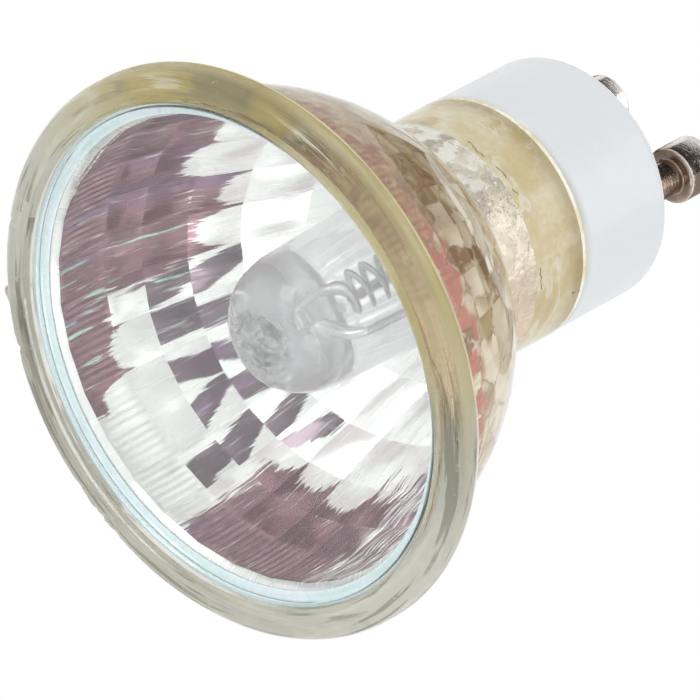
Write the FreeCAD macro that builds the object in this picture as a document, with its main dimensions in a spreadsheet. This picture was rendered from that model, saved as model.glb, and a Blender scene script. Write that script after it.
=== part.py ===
"""Reflector lamp with a twist-lock two-pin base, standing face down on its rim.

The lamp axis is Z, with the front rim on the plane Z = 0 and the pins pointing up, side by side along X.
All sizes are in millimetres.
"""
import FreeCAD, Part
import math
import os
import re
import Sketcher

SIZES = {
    # Pressed-glass reflector: rim, bowl and neck
    "rim_diameter": 50.0,
    "rim_height": 3.0,
    "rim_front_round": 1.4,
    "rim_back_round": 0.5,
    "lip_width": 0.4,
    "lip_drop": 0.5,
    "rim_wall": 2.9,
    "seat_depth": 2.45,
    "seat_width": 1.15,
    "bowl_ledge": 3.1,
    "bowl_depth": 22.6,
    "bowl_round": 26.1,
    "bowl_neck_fillet": 0.9,
    "neck_diameter": 21.8,
    "neck_length": 10.3,
    "neck_wall": 2.1,
    # Faceted mirror inside the bowl
    "mirror_margin": 0.6,
    "mirror_back_wall": 2.1,
    "mirror_end_angle": 65.5,
    "mirror_edge_slope": 41.0,
    "flute_angle": 17.0,
    "facet_rings": 5,
    "facet_columns": 32,
    # Front cover and the adhesive round it
    "cover_gap": 0.3,
    "cover_thickness": 1.5,
    "cover_chamfer": 0.2,
    "sealant_film": 0.2,
    "sealant_width": 1.3,
    # Quartz capsule with its flat press seal
    "capsule_diameter": 11.6,
    "capsule_wall": 0.9,
    "capsule_tip_gap": 1.1,
    "capsule_nipple_diameter": 3.2,
    "capsule_nipple_length": 1.7,
    "capsule_dome_length": 4.4,
    "capsule_body_length": 9.4,
    "capsule_shoulder_length": 3.4,
    "seal_width": 9.0,
    "seal_thickness": 3.2,
    "seal_end_length": 2.2,
    "seal_round": 0.6,
    # Filament, its leads and the foils in the seal
    "filament_strand": 0.3,
    "filament_diameter": 1.4,
    "filament_pitch": 0.9,
    "filament_turns": 6.5,
    "filament_setback": 0.6,
    "lead_diameter": 0.5,
    "lead_spacing": 4.8,
    "lead_bend": 0.8,
    "foil_width": 2.0,
    "foil_thickness": 0.12,
    "foil_length": 5.6,
    "foil_setback": 2.15,
    # Ceramic base and its cements
    "base_step": 0.08,
    "base_length": 14.15,
    "base_side_length": 10.25,
    "base_back_margin": 0.2,
    "base_front_chamfer": 0.7,
    "base_shoulder_round": 1.2,
    "base_back_wall": 4.05,
    "spigot_length": 5.3,
    "slot_clearance": 1.0,
    "chamber_clearance": 0.4,
    "cement_film": 0.35,
    "cement_depth": 5.0,
    # Contact pins
    "pin_spacing": 10.0,
    "pin_length": 7.3,
    "pin_head_diameter": 5.0,
    "pin_head_length": 3.5,
    "pin_head_chamfer": 0.35,
    "pin_shank_diameter": 3.1,
    "pin_hole_clearance": 0.05,
    "pin_collar_diameter": 4.4,
    "pin_collar_thickness": 0.6,
    "pin_bore": 0.9,
    "pin_cap": 3.2,
}

doc = FreeCAD.newDocument("reflector_lamp")
sheet = doc.addObject("Spreadsheet::Sheet", "Sizes")
for row, (alias, number) in enumerate(SIZES.items(), start=1):
    sheet.set(f"A{row}", alias)
    sheet.set(f"B{row}", str(number))
    sheet.setAlias(f"B{row}", alias)
doc.recompute()


def size(expression):
    """Value of an expression in which each size is written by its plain name."""
    found = sheet.evalExpression(expression)
    return float(getattr(found, "Value", found))


def bind(owner, prop, expression):
    """Ties a property to an expression of the sheet's sizes."""
    owner.setExpression(prop, re.sub(r"\b(" + "|".join(SIZES) + r")\b", r"Sizes.\1", expression))


def add(kind, name, **sizes):
    """Adds an object whose properties are bound to the given expressions."""
    made = doc.addObject(kind, name)
    for prop, expression in sizes.items():
        bind(made, prop.replace("__", "."), expression)
    return made


def origin_plane(body, role):
    """One of a body's own origin planes."""
    return next(plane for plane in body.Origin.OriginFeatures if plane.Role == role)


def arc_between(start, end, radius, turn):
    """Arc from start to end; turn is +1 where it goes counter-clockwise and -1 where it goes clockwise."""
    chord = end - start
    middle = (start + end) * 0.5
    rise = math.sqrt(max(radius ** 2 - (chord.Length / 2) ** 2, 0.0))
    normal = FreeCAD.Vector(-chord.y, chord.x, 0).normalize()
    centre = middle + normal * (rise * turn)
    first, last = (start, end) if turn > 0 else (end, start)
    angles = [math.atan2(point.y - centre.y, point.x - centre.x) for point in (first, last)]
    circle = Part.Circle(centre, FreeCAD.Vector(0, 0, 1), radius)
    return Part.ArcOfCircle(circle, angles[0], angles[1])


def draw(body, name, corners, closed=True):
    """Sketch in a body's XZ plane through corners that are bound to the sheet.

    A corner is (x, z) or (x, z, radius, turn), whose last two describe the arc that leaves it.
    """
    sketch = body.newObject("Sketcher::SketchObject", name)
    sketch.AttachmentSupport = [(origin_plane(body, "XZ_Plane"), "")]
    sketch.MapMode = "FlatFace"
    points = [FreeCAD.Vector(size(corner[0]), size(corner[1]), 0) for corner in corners]
    ends = []
    for index, corner in enumerate(corners):
        if index == len(corners) - 1 and not closed:
            break
        start, end = points[index], points[(index + 1) % len(points)]
        if len(corner) == 2:
            side = sketch.addGeometry(Part.LineSegment(start, end))
            ends.append((side, 1, 2))
        else:
            side = sketch.addGeometry(arc_between(start, end, size(corner[2]), corner[3]))
            ends.append((side, 1, 2) if corner[3] > 0 else (side, 2, 1))
            held = sketch.addConstraint(Sketcher.Constraint("Radius", side, size(corner[2])))
            bind(sketch, f"Constraints[{held}]", corner[2])
    for index, (side, first, last) in enumerate(ends):
        if closed or index < len(ends) - 1:
            following = ends[(index + 1) % len(ends)]
            sketch.addConstraint(Sketcher.Constraint("Coincident", side, last, following[0], following[1]))
    fixed = [(side, first) for side, first, last in ends]
    if not closed:
        fixed.append((ends[-1][0], ends[-1][2]))
    for (side, end), corner, point in zip(fixed, corners, points):
        for word, expression, reach, axis in (("DistanceX", corner[0], point.x, -2),
                                              ("DistanceY", corner[1], point.y, -1)):
            if abs(reach) < 1e-9:
                sketch.addConstraint(Sketcher.Constraint("PointOnObject", side, end, axis))
            else:
                held = sketch.addConstraint(Sketcher.Constraint(word, side, end, reach))
                bind(sketch, f"Constraints[{held}]", expression)
    return sketch


def turned(name, corners):
    """Body turned about Z from a closed section of corners."""
    body = doc.addObject("PartDesign::Body", name)
    section = draw(body, f"{name}_section", corners)
    turn = body.newObject("PartDesign::Revolution", f"{name}_turn")
    turn.Profile = (section, [""])
    turn.ReferenceAxis = (section, ["V_Axis"])
    turn.Angle = 360.0
    doc.recompute()
    return body


def wire(name, corners, diameter):
    """Body of a round wire that follows an open path of corners, which starts along Z."""
    body = doc.addObject("PartDesign::Body", name)
    path = draw(body, f"{name}_path", corners, closed=False)
    ring = body.newObject("Sketcher::SketchObject", f"{name}_ring")
    ring.AttachmentSupport = [(origin_plane(body, "XY_Plane"), "")]
    ring.MapMode = "FlatFace"
    bind(ring, "AttachmentOffset.Base.x", corners[0][0])
    bind(ring, "AttachmentOffset.Base.z", corners[0][1])
    ring.addGeometry(Part.Circle(FreeCAD.Vector(), FreeCAD.Vector(0, 0, 1), size(diameter) / 2))
    ring.addConstraint(Sketcher.Constraint("Coincident", 0, 3, -1, 1))
    held = ring.addConstraint(Sketcher.Constraint("Diameter", 0, size(diameter)))
    bind(ring, f"Constraints[{held}]", diameter)
    pipe = body.newObject("PartDesign::AdditivePipe", f"{name}_pipe")
    pipe.Profile = (ring, [""])
    pipe.Spine = (path, [f"Edge{index}" for index in range(1, len(corners))])
    doc.recompute()
    return body


def block(name, width, depth, low, high):
    """Box centred on the lamp axis between two heights."""
    return add("Part::Box", name, Length=width, Width=depth, Height=f"{high} - ({low})",
               Placement__Base__x=f"-({width}) / 2", Placement__Base__y=f"-({depth}) / 2",
               Placement__Base__z=low)


def rod(name, radius, low, high, x="0"):
    """Upright cylinder between two heights."""
    return add("Part::Cylinder", name, Radius=radius, Height=f"{high} - ({low})",
               Placement__Base__x=x, Placement__Base__z=low)


def joined(name, *pieces):
    """Union of several pieces."""
    union = doc.addObject("Part::MultiFuse", name)
    union.Shapes = list(pieces)
    return union


def cut(name, base, tool):
    """A piece with a tool's shape taken out of it."""
    left = doc.addObject("Part::Cut", name)
    left.Base = base
    left.Tool = tool
    doc.recompute()
    return left


def ring_edges(shape, radius, height):
    """Names of a shape's circular edges about Z with a given radius and height."""
    names = []
    for index, edge in enumerate(shape.Edges, start=1):
        if edge.Degenerated or not isinstance(edge.Curve, Part.Circle):
            continue
        off_size = abs(edge.Curve.Radius - size(radius))
        off_height = abs(edge.Curve.Center.z - size(height))
        if max(off_size, off_height) < 1e-4:
            names.append(f"Edge{index}")
    return names


def rounded(body, name, radius, height, fillet_radius):
    """Rounds a body's circular edge of the given radius and height."""
    base = body.Tip
    fillet = body.newObject("PartDesign::Fillet", name)
    fillet.Base = (base, ring_edges(base.Shape, radius, height))
    bind(fillet, "Radius", fillet_radius)
    doc.recompute()


# Heights that several pieces share, from the front of the lamp to its back
COVER_BACK = "seat_depth - sealant_film"
COVER_FRONT = f"{COVER_BACK} - cover_thickness"
TIP = f"{COVER_BACK} + capsule_tip_gap"
DOME = f"{TIP} + capsule_nipple_length"
BODY = f"{DOME} + capsule_dome_length"
SHOULDER = f"{BODY} + capsule_body_length"
PRESS = f"{SHOULDER} + capsule_shoulder_length"
FILAMENT_START = f"{BODY} + filament_setback"
FILAMENT_END = f"{FILAMENT_START} + filament_pitch * filament_turns"
FOIL_START = f"{PRESS} + foil_setback"
FOIL_END = f"{FOIL_START} + foil_length"
SEAL_END = f"{FOIL_END} + seal_end_length"
NECK_END = "bowl_depth + neck_length"
SPIGOT_FRONT = f"{NECK_END} - spigot_length"
CEMENT_TOP = f"{SPIGOT_FRONT} + cement_depth"
BASE_SHOULDER = f"{NECK_END} + base_side_length"
BASE_BACK = f"{NECK_END} + base_length"
CHAMBER_ROOF = f"{BASE_BACK} - base_back_wall"
PIN_TIP = f"{BASE_BACK} + pin_length"
PIN_HEAD = f"{PIN_TIP} - pin_head_length"
PIN_BORE_END = f"{PIN_TIP} - pin_cap"

# Radii and widths that several pieces share
RIM_R = "rim_diameter / 2"
RECESS_R = f"({RIM_R} - rim_wall)"
COVER_R = f"({RECESS_R} - cover_gap)"
MIRROR_EDGE_R = f"({RECESS_R} - seat_width)"
MIRROR_R = f"({MIRROR_EDGE_R} - mirror_margin)"
NECK_R = "neck_diameter / 2"
BORE_R = f"({NECK_R} - neck_wall)"
SPIGOT_R = f"({BORE_R} - cement_film)"
BASE_R = f"({NECK_R} - base_step)"
BASE_BACK_R = "((pin_spacing + pin_shank_diameter) / 2 + base_back_margin)"
SLOT_WIDTH = "(seal_width + 2 * slot_clearance)"
SLOT_DEPTH = "(seal_thickness + 2 * slot_clearance)"
CHAMBER_WIDTH = "(pin_spacing + pin_collar_diameter + 2 * chamber_clearance)"
CHAMBER_DEPTH = "(pin_collar_diameter + 2 * chamber_clearance)"

# Reflector: a turned glass blank, hollowed by the faceted mirror and the neck's bore
blank = turned("reflector_blank", [
    ("0", "seat_depth"),
    (RECESS_R, "seat_depth"),
    (RECESS_R, "lip_drop"),
    (f"{RECESS_R} + lip_width", "0"),
    (f"{RIM_R} - rim_front_round", "0", "rim_front_round", 1),
    (RIM_R, "rim_front_round"),
    (RIM_R, "rim_height - rim_back_round", "rim_back_round", 1),
    (f"{RIM_R} - rim_back_round", "rim_height"),
    (f"{RIM_R} - bowl_ledge", "rim_height", "bowl_round", 1),
    (NECK_R, "bowl_depth"),
    (NECK_R, NECK_END),
    ("0", NECK_END),
])
rounded(blank, "bowl_neck_round", NECK_R, "bowl_depth", "bowl_neck_fillet")

# The mirror's sections are polygons on an ellipse: one zone of long flutes, then rings of square facets
FACET_STEP = "(mirror_end_angle - flute_angle) / facet_rings"
angles = ["0"] + [f"flute_angle + {FACET_STEP} * {ring}" for ring in range(int(sheet.facet_rings) + 1)]
sections = [add("Part::RegularPolygon", f"mirror_section_{index}", Polygon="facet_columns",
                Circumradius=f"{MIRROR_R} * cos({angle})",
                Placement__Base__z=f"seat_depth + (bowl_depth - mirror_back_wall) * sin({angle})")
            for index, angle in enumerate(angles)]
mirror = doc.addObject("Part::Loft", "mirror_space")
mirror.Sections = sections
mirror.Solid = True
mirror.Ruled = True
mirror_edge = add("Part::Cone", "mirror_edge_space", Radius1=MIRROR_EDGE_R, Height=f"{MIRROR_EDGE_R} / 2",
                  Radius2=f"{MIRROR_EDGE_R} - {MIRROR_EDGE_R} / 2 * tan(mirror_edge_slope)",
                  Placement__Base__z="seat_depth")
neck_bore = rod("neck_bore_space", BORE_R, "bowl_depth / 2", NECK_END)
reflector = cut("reflector", blank, joined("reflector_space", mirror, mirror_edge, neck_bore))

# Front cover and the ring of adhesive that holds it in the rim's recess
cover_glass = turned("cover_glass", [
    ("0", COVER_FRONT),
    (f"{COVER_R} - cover_chamfer", COVER_FRONT),
    (COVER_R, f"{COVER_FRONT} + cover_chamfer"),
    (COVER_R, COVER_BACK),
    ("0", COVER_BACK),
])
cover_sealant = turned("cover_sealant", [
    (COVER_R, f"{COVER_FRONT} + cover_chamfer"),
    (RECESS_R, f"{COVER_FRONT} + cover_chamfer"),
    (RECESS_R, "seat_depth"),
    (f"{RECESS_R} - sealant_width", "seat_depth"),
    (f"{RECESS_R} - sealant_width", COVER_BACK),
    (COVER_R, COVER_BACK),
])

# Filament: a coiled strand on the lamp axis
coil = add("Part::Helix", "filament_path", Pitch="filament_pitch", Height="filament_pitch * filament_turns",
           Radius="(filament_diameter - filament_strand) / 2", Placement__Base__z=FILAMENT_START)
strand = add("Part::Circle", "filament_section", Radius="filament_strand / 2",
             Placement__Base__x="(filament_diameter - filament_strand) / 2",
             Placement__Base__z=FILAMENT_START)
strand.Placement.Rotation = FreeCAD.Rotation(FreeCAD.Vector(1, 0, 0), 90)
doc.recompute()
filament = doc.addObject("Part::Sweep", "filament")
filament.Sections = [strand]
filament.Spine = (coil, [f"Edge{index}" for index in range(1, len(coil.Shape.Edges) + 1)])
filament.Solid = True
filament.Frenet = True

# Leads and foils: a long lead to the filament's front end, a short one to its rear end
SIDES = {"left": -1, "right": 1}
LEAD_START = {"left": FILAMENT_END, "right": FILAMENT_START}
leads = {}
foils = {}
outer_leads = {}
for side, sign in SIDES.items():
    row_x = f"{sign} * lead_spacing / 2"
    bend_x = f"{sign} * (lead_spacing / 2 - lead_bend)"
    end_x = f"{sign} * filament_diameter / 2"
    start = LEAD_START[side]
    leads[side] = wire(f"inner_lead_{side}", [
        (row_x, FOIL_START),
        (row_x, f"{start} + lead_bend", "lead_bend", -sign),
        (bend_x, start),
        (end_x, start),
    ], "lead_diameter")
    foils[side] = add("Part::Box", f"foil_{side}", Length="foil_width", Width="foil_thickness",
                      Height="foil_length", Placement__Base__x=f"{row_x} - foil_width / 2",
                      Placement__Base__y="-foil_thickness / 2", Placement__Base__z=FOIL_START)
    swing = "(pin_spacing - lead_spacing) / 4"
    swing_start = f"{CHAMBER_ROOF} - pin_collar_thickness - pin_collar_diameter / 2 - 2 * {swing}"
    outer_leads[side] = wire(f"outer_lead_{side}", [
        (row_x, FOIL_END),
        (row_x, swing_start, swing, -sign),
        (f"{sign} * (lead_spacing / 2 + {swing})", f"{swing_start} + {swing}", swing, sign),
        (f"{sign} * pin_spacing / 2", f"{swing_start} + 2 * {swing}"),
        (f"{sign} * pin_spacing / 2", PIN_BORE_END),
    ], "lead_diameter")

# Quartz capsule: blown body with an exhaust nipple, pressed flat round the foils
CAPSULE_R = "capsule_diameter / 2"
NIPPLE_R = "capsule_nipple_diameter / 2"
SPACE_R = f"({CAPSULE_R} - capsule_wall)"


def ease(across, along):
    """Radius of an arc that leaves the capsule's side smoothly and ends so far across and along from it."""
    return f"(({across}) ^ 2 + ({along}) ^ 2) / (2 * ({across}))"


capsule_body = turned("capsule_body", [
    ("0", TIP, NIPPLE_R, 1),
    (NIPPLE_R, f"{TIP} + {NIPPLE_R}"),
    (NIPPLE_R, DOME, ease(f"{CAPSULE_R} - {NIPPLE_R}", "capsule_dome_length"), 1),
    (CAPSULE_R, BODY),
    (CAPSULE_R, SHOULDER, ease(f"{CAPSULE_R} - seal_thickness / 2", "capsule_shoulder_length"), 1),
    ("seal_thickness / 2", PRESS),
    ("0", PRESS),
])
capsule_space = turned("capsule_space", [
    ("0", f"{DOME} + capsule_wall"),
    (NIPPLE_R, f"{DOME} + capsule_wall",
     ease(f"{SPACE_R} - {NIPPLE_R}", "capsule_dome_length - capsule_wall"), 1),
    (SPACE_R, BODY),
    (SPACE_R, SHOULDER,
     ease(f"{SPACE_R} - {NIPPLE_R}", "capsule_shoulder_length - capsule_wall"), 1),
    (NIPPLE_R, f"{PRESS} - capsule_wall"),
    ("0", f"{PRESS} - capsule_wall"),
])
seal = block("capsule_seal", "seal_width", "seal_thickness", SHOULDER, SEAL_END)
seal_rounded = doc.addObject("Part::Fillet", "capsule_seal_rounded")
seal_rounded.Base = seal
doc.recompute()
upright = [index for index, edge in enumerate(seal.Shape.Edges, start=1)
           if abs(edge.tangentAt(edge.FirstParameter).z) > 0.9]
seal_rounded.Edges = [(index, size("seal_round"), size("seal_round")) for index in upright]
conductors = joined("seal_conductors", *leads.values(), *foils.values(), *outer_leads.values())
capsule_envelope = cut("capsule_envelope", joined("capsule_glass", capsule_body, seal_rounded),
                       joined("capsule_inside", capsule_space, conductors))

# Ceramic base: a turned cup with a spigot, slotted for the capsule's seal and drilled for the pins
base_blank = turned("base_blank", [
    ("0", SPIGOT_FRONT),
    (SPIGOT_R, SPIGOT_FRONT),
    (SPIGOT_R, NECK_END),
    (f"{BASE_R} - base_front_chamfer", NECK_END),
    (BASE_R, f"{NECK_END} + base_front_chamfer"),
    (BASE_R, BASE_SHOULDER),
    (BASE_BACK_R, BASE_BACK),
    ("0", BASE_BACK),
])
rounded(base_blank, "base_shoulder_rounding", BASE_R, BASE_SHOULDER, "base_shoulder_round")
slot = block("base_slot", SLOT_WIDTH, SLOT_DEPTH, SPIGOT_FRONT, CHAMBER_ROOF)
chamber = block("base_chamber", CHAMBER_WIDTH, CHAMBER_DEPTH, NECK_END, CHAMBER_ROOF)
PIN_HOLE_R = "(pin_shank_diameter / 2 + pin_hole_clearance)"
pin_holes = [rod(f"pin_hole_{side}", PIN_HOLE_R, CHAMBER_ROOF, BASE_BACK, f"{sign} * pin_spacing / 2")
             for side, sign in SIDES.items()]
ceramic_base = cut("ceramic_base", base_blank, joined("base_space", slot, chamber, *pin_holes))

# Cements: round the capsule's seal in the slot, and between the spigot and the neck
cement_fill = block("cement_fill", SLOT_WIDTH, SLOT_DEPTH, SPIGOT_FRONT, CEMENT_TOP)
capsule_cement = cut("capsule_cement", cement_fill, joined("cement_space", seal_rounded, conductors))
base_cement = turned("base_cement", [
    (SPIGOT_R, SPIGOT_FRONT),
    (BORE_R, SPIGOT_FRONT),
    (BORE_R, NECK_END),
    (SPIGOT_R, NECK_END),
])

# Contact pins: riveted through the base, each with its lead welded in a blind bore
pins = {}
for side, sign in SIDES.items():
    pins[side] = turned(f"pin_{side}", [
        ("pin_bore / 2", f"{CHAMBER_ROOF} - pin_collar_thickness"),
        ("pin_collar_diameter / 2", f"{CHAMBER_ROOF} - pin_collar_thickness"),
        ("pin_collar_diameter / 2", CHAMBER_ROOF),
        ("pin_shank_diameter / 2", CHAMBER_ROOF),
        ("pin_shank_diameter / 2", PIN_HEAD),
        ("pin_head_diameter / 2 - pin_head_chamfer", PIN_HEAD),
        ("pin_head_diameter / 2", f"{PIN_HEAD} + pin_head_chamfer"),
        ("pin_head_diameter / 2", f"{PIN_TIP} - pin_head_chamfer"),
        ("pin_head_diameter / 2 - pin_head_chamfer", PIN_TIP),
        ("0", PIN_TIP),
        ("0", PIN_BORE_END),
        ("pin_bore / 2", PIN_BORE_END),
    ])
    bind(pins[side], "Placement.Base.x", f"{sign} * pin_spacing / 2")

doc.recompute()
NODES = [reflector, cover_glass, cover_sealant, capsule_envelope, filament, *leads.values(), *foils.values(),
         *outer_leads.values(), capsule_cement, base_cement, ceramic_base, *pins.values()]
for made in doc.Objects:
    if "Invalid" in made.State or "Error" in made.State:
        raise RuntimeError(f"{made.Name} failed to build: {made.State}")
for node in NODES:
    if node.Shape.isNull() or not node.Shape.isValid() or not node.Shape.Solids:
        raise RuntimeError(f"{node.Label} has no valid solid")
os.makedirs("parts", exist_ok=True)
for node in NODES:
    node.Shape.exportStep(f"parts/{node.Label}.step")
    print(node.Label, len(node.Shape.Solids), round(node.Shape.Volume, 3))
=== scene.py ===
"""Looks of a mains reflector lamp with a faceted glass bowl, a quartz capsule and a twist-lock base.

The lamp stands face down on its rim: its axis is Z, the rim's plane is Z = 0 and the pins point up.
Sizes of the pieces are in millimetres, and meshes are in metres.
"""
import logging
import math
from collections.abc import Sequence
from dataclasses import dataclass, field
from enum import Enum

import bmesh
import bpy
import numpy as np
from mathutils import Matrix, Vector, noise


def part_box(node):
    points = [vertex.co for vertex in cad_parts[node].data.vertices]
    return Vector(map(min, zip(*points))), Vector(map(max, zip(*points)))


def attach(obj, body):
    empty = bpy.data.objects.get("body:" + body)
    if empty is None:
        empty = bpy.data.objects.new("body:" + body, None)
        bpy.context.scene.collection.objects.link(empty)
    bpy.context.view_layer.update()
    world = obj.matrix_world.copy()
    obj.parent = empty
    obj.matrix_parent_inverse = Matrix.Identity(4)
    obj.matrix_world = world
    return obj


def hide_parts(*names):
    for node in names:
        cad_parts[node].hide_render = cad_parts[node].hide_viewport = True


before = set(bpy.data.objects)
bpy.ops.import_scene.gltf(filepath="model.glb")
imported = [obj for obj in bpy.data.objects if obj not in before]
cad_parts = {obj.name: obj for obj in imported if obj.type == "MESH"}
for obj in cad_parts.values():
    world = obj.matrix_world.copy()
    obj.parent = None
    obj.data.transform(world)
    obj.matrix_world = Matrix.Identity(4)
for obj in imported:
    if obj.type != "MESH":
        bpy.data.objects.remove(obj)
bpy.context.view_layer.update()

BODY = "root"
MM = 0.001
SEED = 20
OLIVE_SIDE = (0.087, -0.996, 0.0)
LOG = logging.getLogger("reflector_lamp")

Colour = tuple[float, float, float]
Point = tuple[float, float]
Corner = tuple[float, float, float]
Value = float | Sequence[float] | bpy.types.NodeSocket


class Side(Enum):
    """The two sides of the lamp along X, with the sign of that side."""

    LEFT = -1
    RIGHT = 1


class Zone(Enum):
    """Finish of each strip of the reflector, by its material slot."""

    GLASS = 0
    MIRROR = 1
    NECK = 2
    SKIN = 3
    LEDGE = 4


def dimmed(colour: Colour, share: float) -> Colour:
    """Colour at a share of its brightness."""
    return tuple(share * level for level in colour)


def node_reach(node: str) -> tuple[float, float]:
    """Largest radius along X and highest point of a CAD node, in millimetres.

    Args:
        node: Name of the node.

    Returns:
        The node's reach along X and along Z.
    """
    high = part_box(node)[1]
    return high.x / MM, high.z / MM


def arc_points(start: Point, end: Point, radius: float, steps: int) -> list[Point]:
    """Arc that bulges away from the axis between two points of an outline.

    Args:
        start: First point, as radius and height.
        end: Last point.
        radius: Radius of the arc.
        steps: Number of straight pieces.

    Returns:
        The points of the arc, with both ends.
    """
    first, last = np.array(start), np.array(end)
    chord = last - first
    length = np.linalg.norm(chord)
    normal = np.array([-chord[1], chord[0]]) / length
    centre = (first + last) / 2 + normal * math.sqrt(radius ** 2 - (length / 2) ** 2)
    angles = [math.atan2(*(point - centre)[::-1]) for point in (first, last)]
    sweep = (angles[1] - angles[0] + math.pi) % (2 * math.pi) - math.pi
    turns = angles[0] + sweep * np.linspace(0, 1, steps + 1)
    return [(centre[0] + radius * math.cos(a), centre[1] + radius * math.sin(a)) for a in turns]


def eased(corners: Sequence[Corner], closed: bool = False, steps: int = 5) -> list[Point]:
    """Outline whose corners are rounded.

    Args:
        corners: Radius, height and rounding of each corner.
        closed: Whether the outline returns to its start.
        steps: Number of straight pieces in each rounding.

    Returns:
        The points of the outline.
    """
    points: list[Point] = []
    count = len(corners)
    for index, (r, z, rounding) in enumerate(corners):
        if rounding <= 0 or (not closed and index in (0, count - 1)):
            points.append((r, z))
            continue
        here = np.array([r, z])
        ways = []
        for other in (corners[index - 1], corners[(index + 1) % count]):
            way = np.array(other[:2]) - here
            ways.append(way / np.linalg.norm(way))
        half = math.acos(float(np.clip(ways[0] @ ways[1], -1, 1))) / 2
        bisector = (ways[0] + ways[1]) / np.linalg.norm(ways[0] + ways[1])
        centre = here + bisector * rounding / math.sin(half)
        ends = [here + way * rounding / math.tan(half) - centre for way in ways]
        angles = [math.atan2(end[1], end[0]) for end in ends]
        sweep = (angles[1] - angles[0] + math.pi) % (2 * math.pi) - math.pi
        for share in np.linspace(0, 1, steps + 1):
            turn = angles[0] + sweep * share
            points.append((centre[0] + rounding * math.cos(turn), centre[1] + rounding * math.sin(turn)))
    return points


def link_mesh(name: str, mesh: bpy.types.Mesh) -> bpy.types.Object:
    """Object in the scene that shows a mesh.

    Args:
        name: Name of the object.
        mesh: The mesh.

    Returns:
        The object.
    """
    piece = bpy.data.objects.new(name, mesh)
    bpy.context.scene.collection.objects.link(piece)
    return piece


def smooth_mesh(mesh: bpy.types.Mesh, crease: float = 35.0) -> None:
    """Turns a mesh's faces outwards and shades it smooth, with edges sharper than a crease kept.

    Args:
        mesh: The mesh.
        crease: Angle in degrees from which an edge stays sharp.
    """
    work = bmesh.new()
    work.from_mesh(mesh)
    bmesh.ops.recalc_face_normals(work, faces=work.faces)
    work.to_mesh(mesh)
    work.free()
    mesh.shade_smooth()
    mesh.set_sharp_from_angle(angle=math.radians(crease))


def turned(name: str, outline: Sequence[Point], segments: int = 160, closed: bool = False,
           centre_x: float = 0.0) -> bpy.types.Object:
    """Solid turned about an upright axis.

    Args:
        name: Name of the piece.
        outline: Radius and height of each point; points on the axis become poles.
        segments: Number of sides round the axis.
        closed: Whether the outline is a ring's section, which returns to its start.
        centre_x: Place of the axis along X.

    Returns:
        The piece.
    """
    turns = np.arange(segments) * 2 * math.pi / segments
    verts: list[tuple[float, float, float]] = []
    rings: list[list[int]] = []
    for r, z in outline:
        first = len(verts)
        if r < 1e-6:
            verts.append((centre_x * MM, 0.0, z * MM))
            rings.append([first] * segments)
        else:
            verts += [((centre_x + r * math.cos(a)) * MM, r * math.sin(a) * MM, z * MM) for a in turns]
            rings.append(list(range(first, first + segments)))
    pairs = list(zip(rings, rings[1:] + rings[:1])) if closed else list(zip(rings, rings[1:]))
    faces = []
    for low, high in pairs:
        for index in range(segments):
            after = (index + 1) % segments
            corners = (low[index], low[after], high[after], high[index])
            face = tuple(dict.fromkeys(corners))
            if len(face) > 2:
                faces.append(face)
    mesh = bpy.data.meshes.new(name)
    mesh.from_pydata(verts, [], faces)
    smooth_mesh(mesh)
    return link_mesh(name, mesh)


def carve(piece: bpy.types.Object, tools: Sequence[bpy.types.Object]) -> None:
    """Takes the shapes of tools out of a piece, and removes the tools.

    Args:
        piece: The piece to carve.
        tools: Closed meshes to take away.
    """
    for tool in tools:
        cutter = piece.modifiers.new(tool.name, "BOOLEAN")
        cutter.operation = "DIFFERENCE"
        cutter.object = tool
        cutter.solver = "EXACT"
    graph = bpy.context.evaluated_depsgraph_get()
    carved = bpy.data.meshes.new_from_object(piece.evaluated_get(graph))
    piece.modifiers.clear()
    piece.data = carved
    smooth_mesh(piece.data)
    for tool in tools:
        bpy.data.objects.remove(tool)


def block(name: str, width: float, depth: float, low: float, high: float,
          rounding: float = 0.0) -> bpy.types.Object:
    """Box about the axis.

    Args:
        name: Name of the box.
        width: Size along X.
        depth: Size along Y.
        low: Height of its lower face.
        high: Height of its upper face.
        rounding: Rounding of its upright edges.

    Returns:
        The box.
    """
    mesh = bpy.data.meshes.new(name)
    work = bmesh.new()
    bmesh.ops.create_cube(work, size=1.0)
    bmesh.ops.scale(work, vec=Vector((width, depth, high - low)) * MM, verts=work.verts)
    bmesh.ops.translate(work, vec=Vector((0, 0, (low + high) / 2 * MM)), verts=work.verts)
    if rounding > 0:
        upright = [edge for edge in work.edges if abs((edge.verts[0].co - edge.verts[1].co).z) > 0.5 * MM]
        bmesh.ops.bevel(work, geom=upright, offset=rounding * MM, segments=4, affect="EDGES")
    work.to_mesh(mesh)
    work.free()
    return link_mesh(name, mesh)


def install(piece: bpy.types.Object, nodes: Sequence[str],
            materials: Sequence[bpy.types.Material]) -> None:
    """Puts a finished piece in the place of CAD nodes.

    Args:
        piece: The new piece.
        nodes: Nodes that it stands for.
        materials: Materials in the order of the mesh's slots.
    """
    for material in materials:
        piece.data.materials.append(material)
    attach(piece, BODY)
    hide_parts(*nodes)
    LOG.info("%s stands for %s, with %d faces", piece.name, ", ".join(nodes), len(piece.data.polygons))


def dress_node(node: str, material: bpy.types.Material) -> None:
    """Gives a CAD node that stays in view its material.

    Args:
        node: Name of the node.
        material: Its material.
    """
    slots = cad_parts[node].data.materials
    slots.clear()
    slots.append(material)
    LOG.info("%s keeps its solid", node)


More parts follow.
